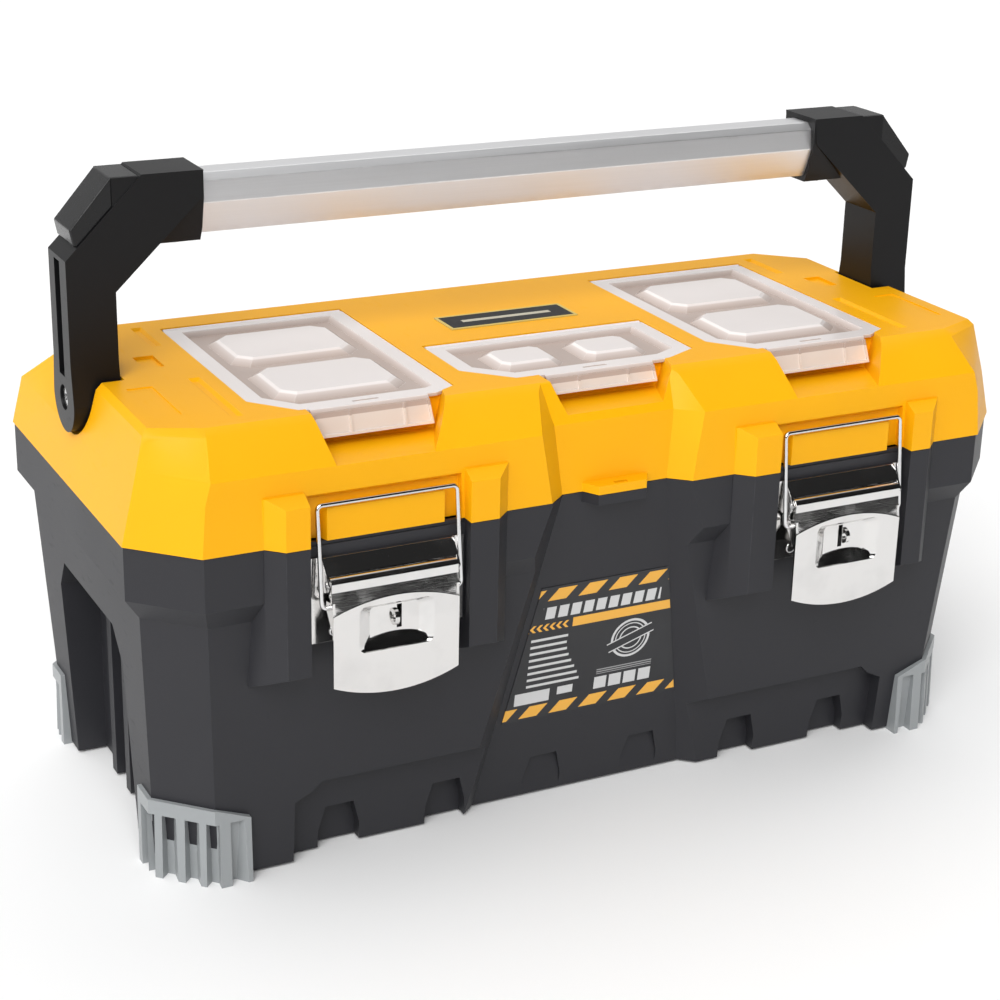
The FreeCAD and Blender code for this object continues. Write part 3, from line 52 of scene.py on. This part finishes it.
BODY_OF = {node: body for body, members in BODIES.items() for node in members}


def placed(name, data):
    """A new object with this data, linked to the scene's collection."""
    made = bpy.data.objects.new(name, data)
    bpy.context.scene.collection.objects.link(made)
    return made


# ---------------------------------------------------------------- shader arithmetic
class Amount:
    """A number that varies over a surface: arithmetic on it adds Math nodes."""

    def __init__(self, finish, socket):
        self.finish = finish
        self.socket = socket

    def math(self, operation, *values):
        return self.finish.number("ShaderNodeMath", {"operation": operation}, dict(enumerate(values)))

    def __add__(self, other):
        return self.math("ADD", self, other)

    def __radd__(self, other):
        return self.math("ADD", other, self)

    def __sub__(self, other):
        return self.math("SUBTRACT", self, other)

    def __rsub__(self, other):
        return self.math("SUBTRACT", other, self)

    def __mul__(self, other):
        return self.math("MULTIPLY", self, other)

    def __rmul__(self, other):
        return self.math("MULTIPLY", other, self)

    def __truediv__(self, other):
        return self.math("DIVIDE", self, other)

    def above(self, other):
        return self.math("GREATER_THAN", self, other)

    def below(self, other):
        return self.math("LESS_THAN", self, other)

    def larger(self, other):
        return self.math("MAXIMUM", self, other)

    def size(self):
        return self.math("ABSOLUTE", self)

    def whole(self):
        return self.math("FLOOR", self)

    def fraction(self):
        return self.math("FRACT", self)

    def sine(self):
        return self.math("SINE", self)

    def root(self):
        return self.math("SQRT", self)

    def clamped(self):
        return self.finish.number("ShaderNodeClamp", {}, {"Value": self})


class Nodes:
    """A node tree, and the one way that nodes are added to it."""

    def __init__(self, tree):
        self.tree = tree

    def node(self, kind, settings, sockets):
        """A new node: its settings or its ramp's stops first, then each socket's value or link."""
        made = self.tree.nodes.new(kind)
        for key, value in settings.items():
            if key == "stops":
                self.place_stops(made.color_ramp.elements, value)
            else:
                setattr(made, key, value)
        for key, value in sockets.items():
            self.feed(made.inputs[key], value)
        return made

    def place_stops(self, elements, stops):
        while len(elements) < len(stops):
            elements.new(0.5)
        for element, (position, shade) in zip(elements, stops):
            element.position = position
            element.color = (shade, shade, shade, 1.0)

    def feed(self, socket, value):
        if isinstance(value, Amount):
            value = value.socket
        if isinstance(value, bpy.types.NodeSocket):
            self.tree.links.new(value, socket)
        else:
            socket.default_value = value


class Finish(Nodes):
    """One procedural material, with the kinds of node that the finishes share."""

    def __init__(self, name, colour, roughness, metallic=0.0):
        self.material = bpy.data.materials.new(name)
        self.material.use_nodes = True
        super().__init__(self.material.node_tree)
        self.shader = self.tree.nodes["Principled BSDF"]
        self.set("Base Color", (*colour, 1.0))
        self.set("Roughness", roughness)
        self.set("Metallic", metallic)
        self.material.diffuse_color = (*colour, 1.0)
        self.place = self.node("ShaderNodeTexCoord", {}, {}).outputs["Object"]
        axes = self.node("ShaderNodeSeparateXYZ", {}, {0: self.place}).outputs
        self.x, self.y, self.z = [Amount(self, axis) for axis in axes]

    def set(self, name, value):
        self.feed(self.shader.inputs[name], value)

    def number(self, kind, settings, sockets):
        return Amount(self, self.node(kind, settings, sockets).outputs[0])

    def noise(self, scale, detail=3.0, stretch=None):
        """Smooth noise from 0 to 1; `stretch` scales the three axes."""
        where = self.place
        if stretch:
            where = self.node("ShaderNodeMapping", {}, {"Vector": self.place, "Scale": stretch}).outputs[0]
        return self.number("ShaderNodeTexNoise", {}, {"Vector": where, "Scale": scale, "Detail": detail})

    def steep(self, amount, low, high):
        """The amount stretched so that low becomes 0 and high becomes 1."""
        return ((amount - low) / (high - low)).clamped()

    def edge(self):
        """1 on the rounded edges of a piece, 0 on its faces."""
        made = self.node("ShaderNodeAttribute", {"attribute_name": "edge"}, {})
        return Amount(self, made.outputs["Fac"])

    def mix(self, share, first, second):
        """A colour between two colours; each is a triple or a socket."""
        first = (*first, 1.0) if isinstance(first, tuple) else first
        second = (*second, 1.0) if isinstance(second, tuple) else second
        made = self.node("ShaderNodeMix", {"data_type": "RGBA"}, {0: share, 6: first, 7: second})
        return made.outputs[2]

    def bump(self, height, strength, distance):
        sockets = {"Height": height, "Strength": strength, "Distance": distance}
        self.set("Normal", self.node("ShaderNodeBump", {}, sockets).outputs[0])


def shaded(colour, factor):
    return tuple(min(1.0, channel * factor) for channel in colour)


# ---------------------------------------------------------------- finishes
COAT_ROUGHNESS = 0.18
FINE_RELIEF = 0.0003
COARSE_RELIEF = 0.0004


def moulded_plastic(name, colour, roughness, grain, worn=None, coat=0.0, gloss=0.5):
    """Injection moulded plastic: spark-eroded grain, faint flow clouds, rubbed edges."""
    finish = Finish(name, colour, roughness)
    clouds = finish.noise(scale=7.0, detail=4.0)
    grain_height = finish.noise(scale=1500.0, detail=2.0)
    scuffs = finish.steep(finish.noise(scale=260.0, detail=4.0, stretch=(1.0, 0.25, 1.0)), 0.62, 0.75)
    rubbed = finish.edge() * finish.steep(finish.noise(scale=90.0, detail=5.0), 0.42, 0.62)
    tone = finish.mix(clouds, shaded(colour, 0.90), shaded(colour, 1.08))
    tone = finish.mix(rubbed * 0.55, tone, worn or shaded(colour, 1.25))
    finish.set("Base Color", tone)
    finish.set("Roughness", (clouds * 0.10 + roughness - 0.05 + scuffs * 0.06 - rubbed * 0.10).clamped())
    finish.set("Specular IOR Level", gloss)
    finish.set("Coat Weight", coat)
    finish.set("Coat Roughness", COAT_ROUGHNESS)
    finish.bump(grain_height + scuffs * 0.4, grain, COARSE_RELIEF)
    return finish.material


def bright_steel(name, colour, roughness):
    """Stainless steel: near mirror, with faint drawing lines and finger marks."""
    finish = Finish(name, colour, roughness, metallic=1.0)
    lines = finish.noise(scale=60.0, detail=3.0, stretch=(1.0, 1.0, 30.0))
    marks = finish.steep(finish.noise(scale=45.0, detail=5.0), 0.5, 0.72)
    finish.set("Base Color", finish.mix(marks * 0.5, colour, shaded(colour, 0.86)))
    dulling = lines * 0.08 + marks * 0.10 + finish.edge() * 0.04
    finish.set("Roughness", (dulling + roughness - 0.03).clamped())
    waves = finish.noise(scale=18.0, detail=2.0)
    finish.bump(lines * 0.4 + waves * 4.0, 0.10, COARSE_RELIEF)
    return finish.material


def satin_aluminium(name, colour, roughness):
    """Anodised extrusion: long fine lines along the bar, paler at its rubbed edges."""
    finish = Finish(name, colour, roughness, metallic=1.0)
    lines = finish.noise(scale=40.0, detail=4.0, stretch=(0.25, 40.0, 40.0))
    clouds = finish.noise(scale=9.0, detail=3.0, stretch=(0.4, 2.0, 2.0))
    rubbed = finish.edge() * finish.steep(finish.noise(scale=70.0, detail=4.0), 0.45, 0.6)
    tone = finish.mix(lines * 0.6, shaded(colour, 0.93), shaded(colour, 1.05))
    finish.set("Base Color", finish.mix(rubbed * 0.4, tone, (0.95, 0.95, 0.95)))
    finish.set("Roughness", (lines * 0.12 + clouds * 0.08 + roughness - 0.10).clamped())
    finish.bump(lines, 0.04, FINE_RELIEF)
    return finish.material


# levels of a cover's rim, of its sunk dish and of the tab that hangs below, and the pads' slopes
COVER_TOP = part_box("organizer_cover_left")[1].z
RIM_Z = COVER_TOP - 0.0010
DISH_Z = COVER_TOP - 0.0044
TAB_Z = DISH_Z - 0.0025
FOOT_OF_SLOPE = 0.0012
HEAD_OF_SLOPE = 0.0006
# the dish's and the slopes' darker, browner tones are painted shade in the sunk dish and on its walls
DISH_SHADE_TONE, RIM_TONE, TAB_TONE = (0.58, 0.46, 0.40), (0.84, 0.78, 0.76), (0.86, 0.76, 0.69)
# the near white on the covers' rounded edges is a painted highlight
SLOPE_SHADE_TONE, EDGE_HIGHLIGHT_TONE, CLOUD_TONE = (0.55, 0.44, 0.39), (0.97, 0.95, 0.94), (0.75, 0.72, 0.70)


def milky_cover(name, roughness):
    """Frosted plastic: whitish rim and pad tops, slightly see-through in dish and tab; the dish and its
    walls get painted shade, the rounded edges a painted highlight.
    """
    finish = Finish(name, RIM_TONE, roughness)
    clouds = finish.noise(scale=24.0, detail=3.0)
    frost = finish.noise(scale=900.0, detail=2.0)
    edge = finish.edge()
    raised = finish.steep(finish.z, DISH_Z, RIM_Z)
    hanging = finish.z.below(TAB_Z)
    # painted shade: the sunk dish takes a darker, browner tone than the rim
    tone = finish.mix(raised, DISH_SHADE_TONE, RIM_TONE)
    tone = finish.mix(hanging, tone, TAB_TONE)
    off_dish = finish.steep(finish.z, DISH_Z, DISH_Z + FOOT_OF_SLOPE)
    on_rim = finish.steep(finish.z, RIM_Z - HEAD_OF_SLOPE, RIM_Z)
    slope = off_dish * (1.0 - on_rim) * (1.0 - hanging)
    # painted shade on the walls between the dish and the rim
    tone = finish.mix(slope * 0.5, tone, SLOPE_SHADE_TONE)
    # painted highlight: the rounded edges lightened to near white
    tone = finish.mix((edge * 0.7).clamped(), tone, EDGE_HIGHLIGHT_TONE)
    finish.set("Base Color", finish.mix(clouds * 0.12, tone, CLOUD_TONE))
    finish.set("Roughness", (clouds * 0.10 + roughness - 0.05).clamped())
    finish.set("Alpha", (raised * 0.20 + 0.76 + hanging * 0.06 + edge * 0.15 + clouds * 0.04).clamped())
    finish.set("Coat Weight", 0.4)
    finish.set("Coat Roughness", 0.10)
    finish.bump(frost, 0.05, FINE_RELIEF)
    return finish.material


LABEL_LOW, LABEL_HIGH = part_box("front_label")
INK, INK_HAZE = (0.012, 0.012, 0.014), (0.030, 0.031, 0.034)
AMBER, PALE_PRINT = (0.84, 0.43, 0.06), (0.66, 0.66, 0.66)
# the ring's middle, measured from the label's middle and its foot; each line's radius and half width
RING_PLACE = (0.026, 0.052)
RING_LINES = ((0.0145, 0.0009), (0.0118, 0.0004), (0.0085, 0.0005))
# the blank sash across the ring, and the thin line (offset, half width) along each of its sides
SASH_REACH = 0.0185
SASH_HALF = 0.0042
SASH_LINE = (0.0036, 0.0005)
SASH_TILT = 0.35
# fine rules and notes in the label's height; the rules' ends follow a sine of their number
RULES_PER_LABEL = 20.0
NOTES_PER_LABEL = 60.0
RULE_PHASE = 12.9898


def printed_label(name):
    """Dark film with warning stripes along both ends, plain bands and blocks, a ring and blank rules.

    Heights are shares of the label's height; widths are metres from its middle.
    """
    finish = Finish(name, INK, 0.34)
    height = (finish.z - LABEL_LOW.z) / (LABEL_HIGH.z - LABEL_LOW.z)
    across = finish.x - (LABEL_LOW.x + LABEL_HIGH.x) / 2

    def row(middle, half):
        return (height - middle).size().below(half)

    def span(left, right):
        return across.above(left) * across.below(right)

    def blocks(pitch, filled, slant):
        return ((across + finish.z * slant) / pitch).fraction().below(filled)

    off_middle = (height - 0.5).size()
    ends = off_middle.above(0.398) * off_middle.below(0.482)
    stripes = blocks(pitch=0.0235, filled=0.60, slant=-0.9) * ends
    band = row(0.705, 0.034) * across.above(-0.022)
    arrow_heads = (across - (height - 0.700).size() * 0.10) / 0.0050
    arrows = arrow_heads.fraction().below(0.45) * row(0.700, 0.026) * span(-0.056, -0.025)

    title = blocks(pitch=0.0098, filled=0.74, slant=-0.10) * row(0.805, 0.044) * span(-0.046, 0.046)
    lines = height * RULES_PER_LABEL
    reach = (lines.whole() * RULE_PHASE).sine() * 0.007 - 0.018
    rules = lines.fraction().below(0.38) * height.above(0.25) * height.below(0.63)
    rules = rules * across.above(-0.053) * (reach - across).above(0.0)

    ring_x, ring_z = across - RING_PLACE[0], finish.z - LABEL_LOW.z - RING_PLACE[1]
    from_middle = (ring_x * ring_x + ring_z * ring_z).root()
    off_sash = (ring_z - ring_x * SASH_TILT).size()
    inside = from_middle.below(SASH_REACH)
    rings = sum((from_middle - radius).size().below(half) for radius, half in RING_LINES)
    rings = rings * (1.0 - off_sash.below(SASH_HALF) * inside)
    rings = rings + (off_sash - SASH_LINE[0]).size().below(SASH_LINE[1]) * inside

    tiles = ((across / 0.0118).fraction() - 0.5).size().below(0.41) * row(0.185, 0.046) * span(0.0, 0.0472)
    notes = (height * NOTES_PER_LABEL).fraction().below(0.5) * row(0.275, 0.022) * span(0.002, 0.046)
    panels = row(0.170, 0.046) * span(-0.061, -0.034) + row(0.185, 0.030) * span(-0.028, -0.016)

    haze = finish.noise(scale=35.0, detail=4.0)
    tone = finish.mix(haze, INK, INK_HAZE)
    tone = finish.mix((stripes + band + arrows).clamped(), tone, AMBER)
    print_pale = (title + rules + rings + tiles + notes * 0.5 + panels).clamped()
    tone = finish.mix(print_pale * 0.92, tone, PALE_PRINT)
    finish.set("Base Color", tone)
    finish.set("Roughness", haze * 0.15 + 0.28)
    finish.set("Specular IOR Level", 0.35)
    finish.set("Coat Weight", 0.15)
    finish.bump(haze, 0.03, COARSE_RELIEF)
    return finish.material


BADGE_LOW, BADGE_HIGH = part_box("lid_badge")
BADGE_BLACK, GILT, CREAM = (0.015, 0.015, 0.015), (0.62, 0.48, 0.14), (0.70, 0.66, 0.52)


def printed_badge(name):
    """Black plate with a thin gilt frame and a plain centre bar."""
    finish = Finish(name, BADGE_BLACK, 0.28)
    across = (finish.x - (BADGE_LOW.x + BADGE_HIGH.x) / 2).size() / ((BADGE_HIGH.x - BADGE_LOW.x) / 2)
    along = (finish.y - (BADGE_LOW.y + BADGE_HIGH.y) / 2).size() / ((BADGE_HIGH.y - BADGE_LOW.y) / 2)
    border = across.above(0.955).larger(along.above(0.86))
    bar = across.below(0.70) * along.below(0.16)
    speckle = finish.noise(scale=400.0, detail=3.0)
    tone = finish.mix(border, BADGE_BLACK, GILT)
    tone = finish.mix(bar * 0.7, tone, CREAM)
    finish.set("Base Color", tone)
    finish.set("Roughness", speckle * 0.15 + 0.38)
    finish.set("Specular IOR Level", 0.15)
    finish.bump(speckle, 0.04, FINE_RELIEF)
    return finish.material


BOX_TONE, BOX_WORN = (0.0200, 0.0200, 0.0240), (0.060, 0.060, 0.068)
LID_TONE, LID_WORN = (0.90, 0.425, 0.002), (0.95, 0.54, 0.01)
TRAY_TONE = (0.030, 0.031, 0.037)
# the bins' dark brown-grey is painted shade, seen through the milky covers' dishes
BIN_SHADE_TONE = (0.30, 0.22, 0.18)
ARM_TONE, ARM_WORN = (0.0045, 0.0045, 0.0052), (0.02, 0.02, 0.022)
CAP_TONE, CAP_WORN = (0.0045, 0.0045, 0.0050), (0.03, 0.03, 0.03)
FOOT_TONE, FOOT_WORN = (0.290, 0.305, 0.312), (0.62, 0.64, 0.64)
SHEET_TONE, WIRE_TONE, BAR_TONE = (0.74, 0.73, 0.72), (0.70, 0.70, 0.70), (0.82, 0.82, 0.83)
FINISHES = {
    "box_plastic": moulded_plastic("charcoal_moulding", BOX_TONE, 0.50, 0.16, BOX_WORN, gloss=0.38),
    "lid_plastic": moulded_plastic("yellow_moulding", LID_TONE, 0.42, 0.08, LID_WORN, gloss=0.20),
    "tray_plastic": moulded_plastic("tray_moulding", TRAY_TONE, 0.50, 0.14),
    "bin_plastic": moulded_plastic("bin_moulding", BIN_SHADE_TONE, 0.45, 0.12),
    "arm_plastic": moulded_plastic("black_moulding", ARM_TONE, 0.40, 0.10, ARM_WORN, gloss=0.24),
    "cap_plastic": moulded_plastic("bumper_moulding", CAP_TONE, 0.26, 0.06, CAP_WORN, 0.1, 0.30),
    "foot_plastic": moulded_plastic("foot_moulding", FOOT_TONE, 0.36, 0.08, FOOT_WORN, 0.05, 0.45),
    "cover_plastic": milky_cover("milky_cover", 0.24),
    "latch_steel": bright_steel("bright_pressed_steel", SHEET_TONE, 0.09),
    "pin_steel": bright_steel("bright_wire", WIRE_TONE, 0.12),
    "bar_aluminium": satin_aluminium("satin_bar", BAR_TONE, 0.46),
    "label_film": printed_label("striped_label"),
    "badge_film": printed_badge("framed_badge"),
}

# ---------------------------------------------------------------- rounded copies of the CAD's parts
# for each finish, the width of the rounding in metres and its number of steps
ROUNDING = {
    "box_plastic": (0.0012, 3),
    "lid_plastic": (0.0014, 3),
    "tray_plastic": (0.0006, 2),
    "bin_plastic": (0.0003, 1),
    "arm_plastic": (0.0012, 3),
    "cap_plastic": (0.0010, 3),
    "foot_plastic": (0.0006, 2),
    "cover_plastic": (0.0005, 2),
    "latch_steel": (0.0004, 2),
    "bar_aluminium": (0.0008, 2),
}
ROUND_FROM = math.radians(22.0)
FLAT_WITHIN = math.radians(0.6)
CREASE_FROM = math.radians(35.0)
SAME_POINT = 2e-6


def stand_for(piece, node):
    """Lets a piece take the place of a CAD part: it goes on the part's body and the part is hidden."""
    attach(piece, BODY_OF[node])
    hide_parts(node)


def plain_mesh(source):
    """The object's mesh with its modifiers worked in; the object itself goes."""
    evaluated = source.evaluated_get(bpy.context.evaluated_depsgraph_get())
    mesh = bpy.data.meshes.new_from_object(evaluated)
    bpy.data.objects.remove(source)
    return mesh


def clean_copy(node):
    """The part's mesh with its triangles joined, flat faces made whole and concave ones split."""
    mesh = NODES[node].data.copy()
    work = bmesh.new()
    work.from_mesh(mesh)
    bmesh.ops.remove_doubles(work, verts=work.verts, dist=SAME_POINT)
    bmesh.ops.dissolve_limit(work, angle_limit=FLAT_WITHIN, verts=work.verts, edges=work.edges)
    bmesh.ops.connect_verts_concave(work, faces=work.faces)
    work.to_mesh(mesh)
    work.free()
    return mesh


def rounded_piece(node):
    """A copy of a CAD part with its edges rounded; the rounded strips carry the `edge` attribute.

    The strips get the second of two equal material slots, which tells them from the faces.
    """
    mesh = clean_copy(node)
    mesh.materials.clear()
    mesh.materials.append(FINISHES[SLOT_OF[node]])
    mesh.materials.append(FINISHES[SLOT_OF[node]])
    source = placed("work", mesh)
    bevel = source.modifiers.new("rounding", "BEVEL")
    bevel.width, bevel.segments = ROUNDING[SLOT_OF[node]]
    bevel.limit_method = "ANGLE"
    bevel.angle_limit = ROUND_FROM
    bevel.material = 1
    bevel.miter_outer = "MITER_ARC"
    bevel.use_clamp_overlap = True
    bevel.harden_normals = False
    result = plain_mesh(source)
    edge = result.attributes.new("edge", "FLOAT", "FACE")
    edge.data.foreach_set("value", [float(face.material_index) for face in result.polygons])
    for face in result.polygons:
        face.material_index = 0
    result.materials.pop(index=1)
    result.shade_smooth()
    result.set_sharp_from_angle(angle=CREASE_FROM)
    piece = placed(f"{node}_moulding", result)
    normals = piece.modifiers.new("flat_faces", "WEIGHTED_NORMAL")
    normals.keep_sharp = True
    stand_for(piece, node)


# ---------------------------------------------------------------- domed rivets of the latch plates
RIVET_RADIUS = 0.0038
RIVET_DOME = 0.0012
DOME_SEGMENTS = 24
DOME_RINGS = 12
RIVET_INPUTS = (("Points", "Geometry"), ("Radius", "Float"), ("Height", "Float"), ("Finish", "Material"))


def rivet_tree():
    """A low dome on every point of the mesh, made real and given its finish."""
    tree = bpy.data.node_groups.new("rivet_domes", "GeometryNodeTree")
    inputs = {}
    for name, kind in RIVET_INPUTS:
        socket = tree.interface.new_socket(name, in_out="INPUT", socket_type=f"NodeSocket{kind}")
        inputs[name] = socket.identifier
    tree.interface.new_socket("Domes", in_out="OUTPUT", socket_type="NodeSocketGeometry")

    rivets = Nodes(tree)

    def node(kind, **sockets):
        return rivets.node(kind, {}, sockets).outputs

    given = node("NodeGroupInput")
    size = node("ShaderNodeCombineXYZ", X=given["Radius"], Y=given["Height"], Z=given["Radius"])
    ball = node("GeometryNodeMeshUVSphere", Segments=DOME_SEGMENTS, Rings=DOME_RINGS)
    points = given["Points"]
    domes = node("GeometryNodeInstanceOnPoints", Points=points, Instance=ball["Mesh"], Scale=size[0])
    real = node("GeometryNodeRealizeInstances", Geometry=domes[0])
    finished = node("GeometryNodeSetMaterial", Geometry=real[0], Material=given["Finish"])
    node("NodeGroupOutput", Domes=finished[0])
    return tree, inputs


def domed_rivets(node, tree, inputs):
    """The rivet heads of one latch plate, one at each corner of their CAD part's box."""
    low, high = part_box(node)
    columns = (low.x + RIVET_RADIUS, high.x - RIVET_RADIUS)
    rows = (low.z + RIVET_RADIUS, high.z - RIVET_RADIUS)
    places = [(x, low.y + RIVET_DOME, z) for x in columns for z in rows]
    points = bpy.data.meshes.new("rivet_places")
    points.from_pydata(places, [], [])
    source = placed("work", points)
    domes = source.modifiers.new("domes", "NODES")
    domes.node_group = tree
    values = {"Radius": RIVET_RADIUS, "Height": RIVET_DOME, "Finish": FINISHES[SLOT_OF[node]]}
    for name, value in values.items():
        domes[inputs[name]] = value
    mesh = plain_mesh(source)
    mesh.shade_smooth()
    stand_for(placed(f"{node}_domes", mesh), node)


def dress_parts():
    """Rounds the moulded and pressed parts, domes the rivets and gives every other part its finish."""
    tree, inputs = rivet_tree()
    for node, part in NODES.items():
        if SLOT_OF[node] in ROUNDING:
            rounded_piece(node)
        elif node.startswith("latch_rivets"):
            domed_rivets(node, tree, inputs)
        else:
            part.data.materials.clear()
            part.data.materials.append(FINISHES[SLOT_OF[node]])


# ---------------------------------------------------------------- floor, light and camera
FLOOR_SIZE = 60.0
FLOOR_TONE = (0.92, 0.92, 0.92)
FLOOR_ROUGHNESS = 0.7
CENTRE = (0.0, 0.0, 0.2)

# brightness of the surroundings by the height of a direction, from level (0) to straight up (1)
SKY_BY_HEIGHT = ((0.0, 0.85), (0.06, 0.80), (0.12, 0.34), (0.30, 0.48), (0.60, 1.12), (1.0, 1.18))
# a dark flag stands on this side; brightness by how nearly a direction points to it
FLAG_SIDE = (0.45, -0.82, 0.35)
FLAG_FADE = ((0.35, 1.0), (0.62, 0.02))

EYE = Vector((-0.68013, -1.31924, 0.74827))
LOOK = Vector((0.42424, 0.83110, -0.35956))
AZIMUTH = math.radians(-27.04)
ROLL = math.radians(1.35)
LENS = 78.05
SENSOR_WIDTH = 36.0
FAR_CLIP = 200.0


def floor():
    work = bmesh.new()
    bmesh.ops.create_grid(work, x_segments=1, y_segments=1, size=FLOOR_SIZE / 2)
    mesh = bpy.data.meshes.new("floor")
    work.to_mesh(mesh)
    work.free()
    sheet = placed("floor", mesh)
    finish = Finish("pale_floor", FLOOR_TONE, FLOOR_ROUGHNESS)
    finish.set("Roughness", finish.noise(scale=3.0) * 0.05 + FLOOR_ROUGHNESS)
    mesh.materials.append(finish.material)


def studio():
    """Plain surroundings, bright overhead, with a dark flag to one side for the metal to mirror."""
    world = bpy.data.worlds.new("studio")
    world.use_nodes = True
    sky = Nodes(world.node_tree)
    direction = sky.node("ShaderNodeTexCoord", {}, {}).outputs["Generated"]
    height = sky.node("ShaderNodeSeparateXYZ", {}, {0: direction}).outputs["Z"]
    facing = {0: direction, 1: FLAG_SIDE}
    toward_flag = sky.node("ShaderNodeVectorMath", {"operation": "DOT_PRODUCT"}, facing).outputs["Value"]
    shades = {
        0: sky.node("ShaderNodeValToRGB", {"stops": SKY_BY_HEIGHT}, {0: height}).outputs[0],
        1: sky.node("ShaderNodeValToRGB", {"stops": FLAG_FADE}, {0: toward_flag}).outputs[0],
    }
    shade = sky.node("ShaderNodeVectorMath", {"operation": "MULTIPLY"}, shades).outputs[0]
    sky.feed(sky.tree.nodes["Background"].inputs[0], shade)
    bpy.context.scene.world = world


def broad_sun(direction, strength, spread):
    """Sun that shines from this direction; `spread` in degrees softens its shadows."""
    lamp = bpy.data.lights.new("broad_sun", "SUN")
    lamp.energy = strength
    lamp.angle = math.radians(spread)
    placed("broad_sun", lamp).rotation_euler = Vector(direction).to_track_quat("Z", "Y").to_euler()


def softbox(name, place, target, width, height, power):
    """Large plain area light that faces a point."""
    lamp = bpy.data.lights.new(name, "AREA")
    lamp.shape = "RECTANGLE"
    lamp.size = width
    lamp.size_y = height
    lamp.energy = power
    holder = placed(name, lamp)
    holder.location = place
    holder.rotation_euler = (Vector(target) - Vector(place)).to_track_quat("-Z", "Y").to_euler()


def camera():
    """Camera at EYE, looking along LOOK and rolled a little about that line."""
    lens = bpy.data.cameras.new("camera")
    lens.lens = LENS
    lens.sensor_width = SENSOR_WIDTH
    lens.clip_end = FAR_CLIP
    holder = placed("camera", lens)
    right = Vector((math.cos(AZIMUTH), math.sin(AZIMUTH), 0.0))
    up = right.cross(LOOK)
    turn = holder.matrix_world.to_3x3()
    turn.col[0] = right * math.cos(ROLL) + up * math.sin(ROLL)
    turn.col[1] = up * math.cos(ROLL) - right * math.sin(ROLL)
    turn.col[2] = -LOOK
    holder.matrix_world = turn.to_4x4()
    holder.location = EYE
    bpy.context.scene.camera = holder


dress_parts()
floor()
studio()
broad_sun(direction=(-0.40, -0.66, 0.72), strength=2.45, spread=45.0)
softbox("left_panel", place=(-2.6, -0.6, 1.0), target=CENTRE, width=1.6, height=1.4, power=5.0)
camera()
bpy.context.scene.view_settings.view_transform = "Standard"
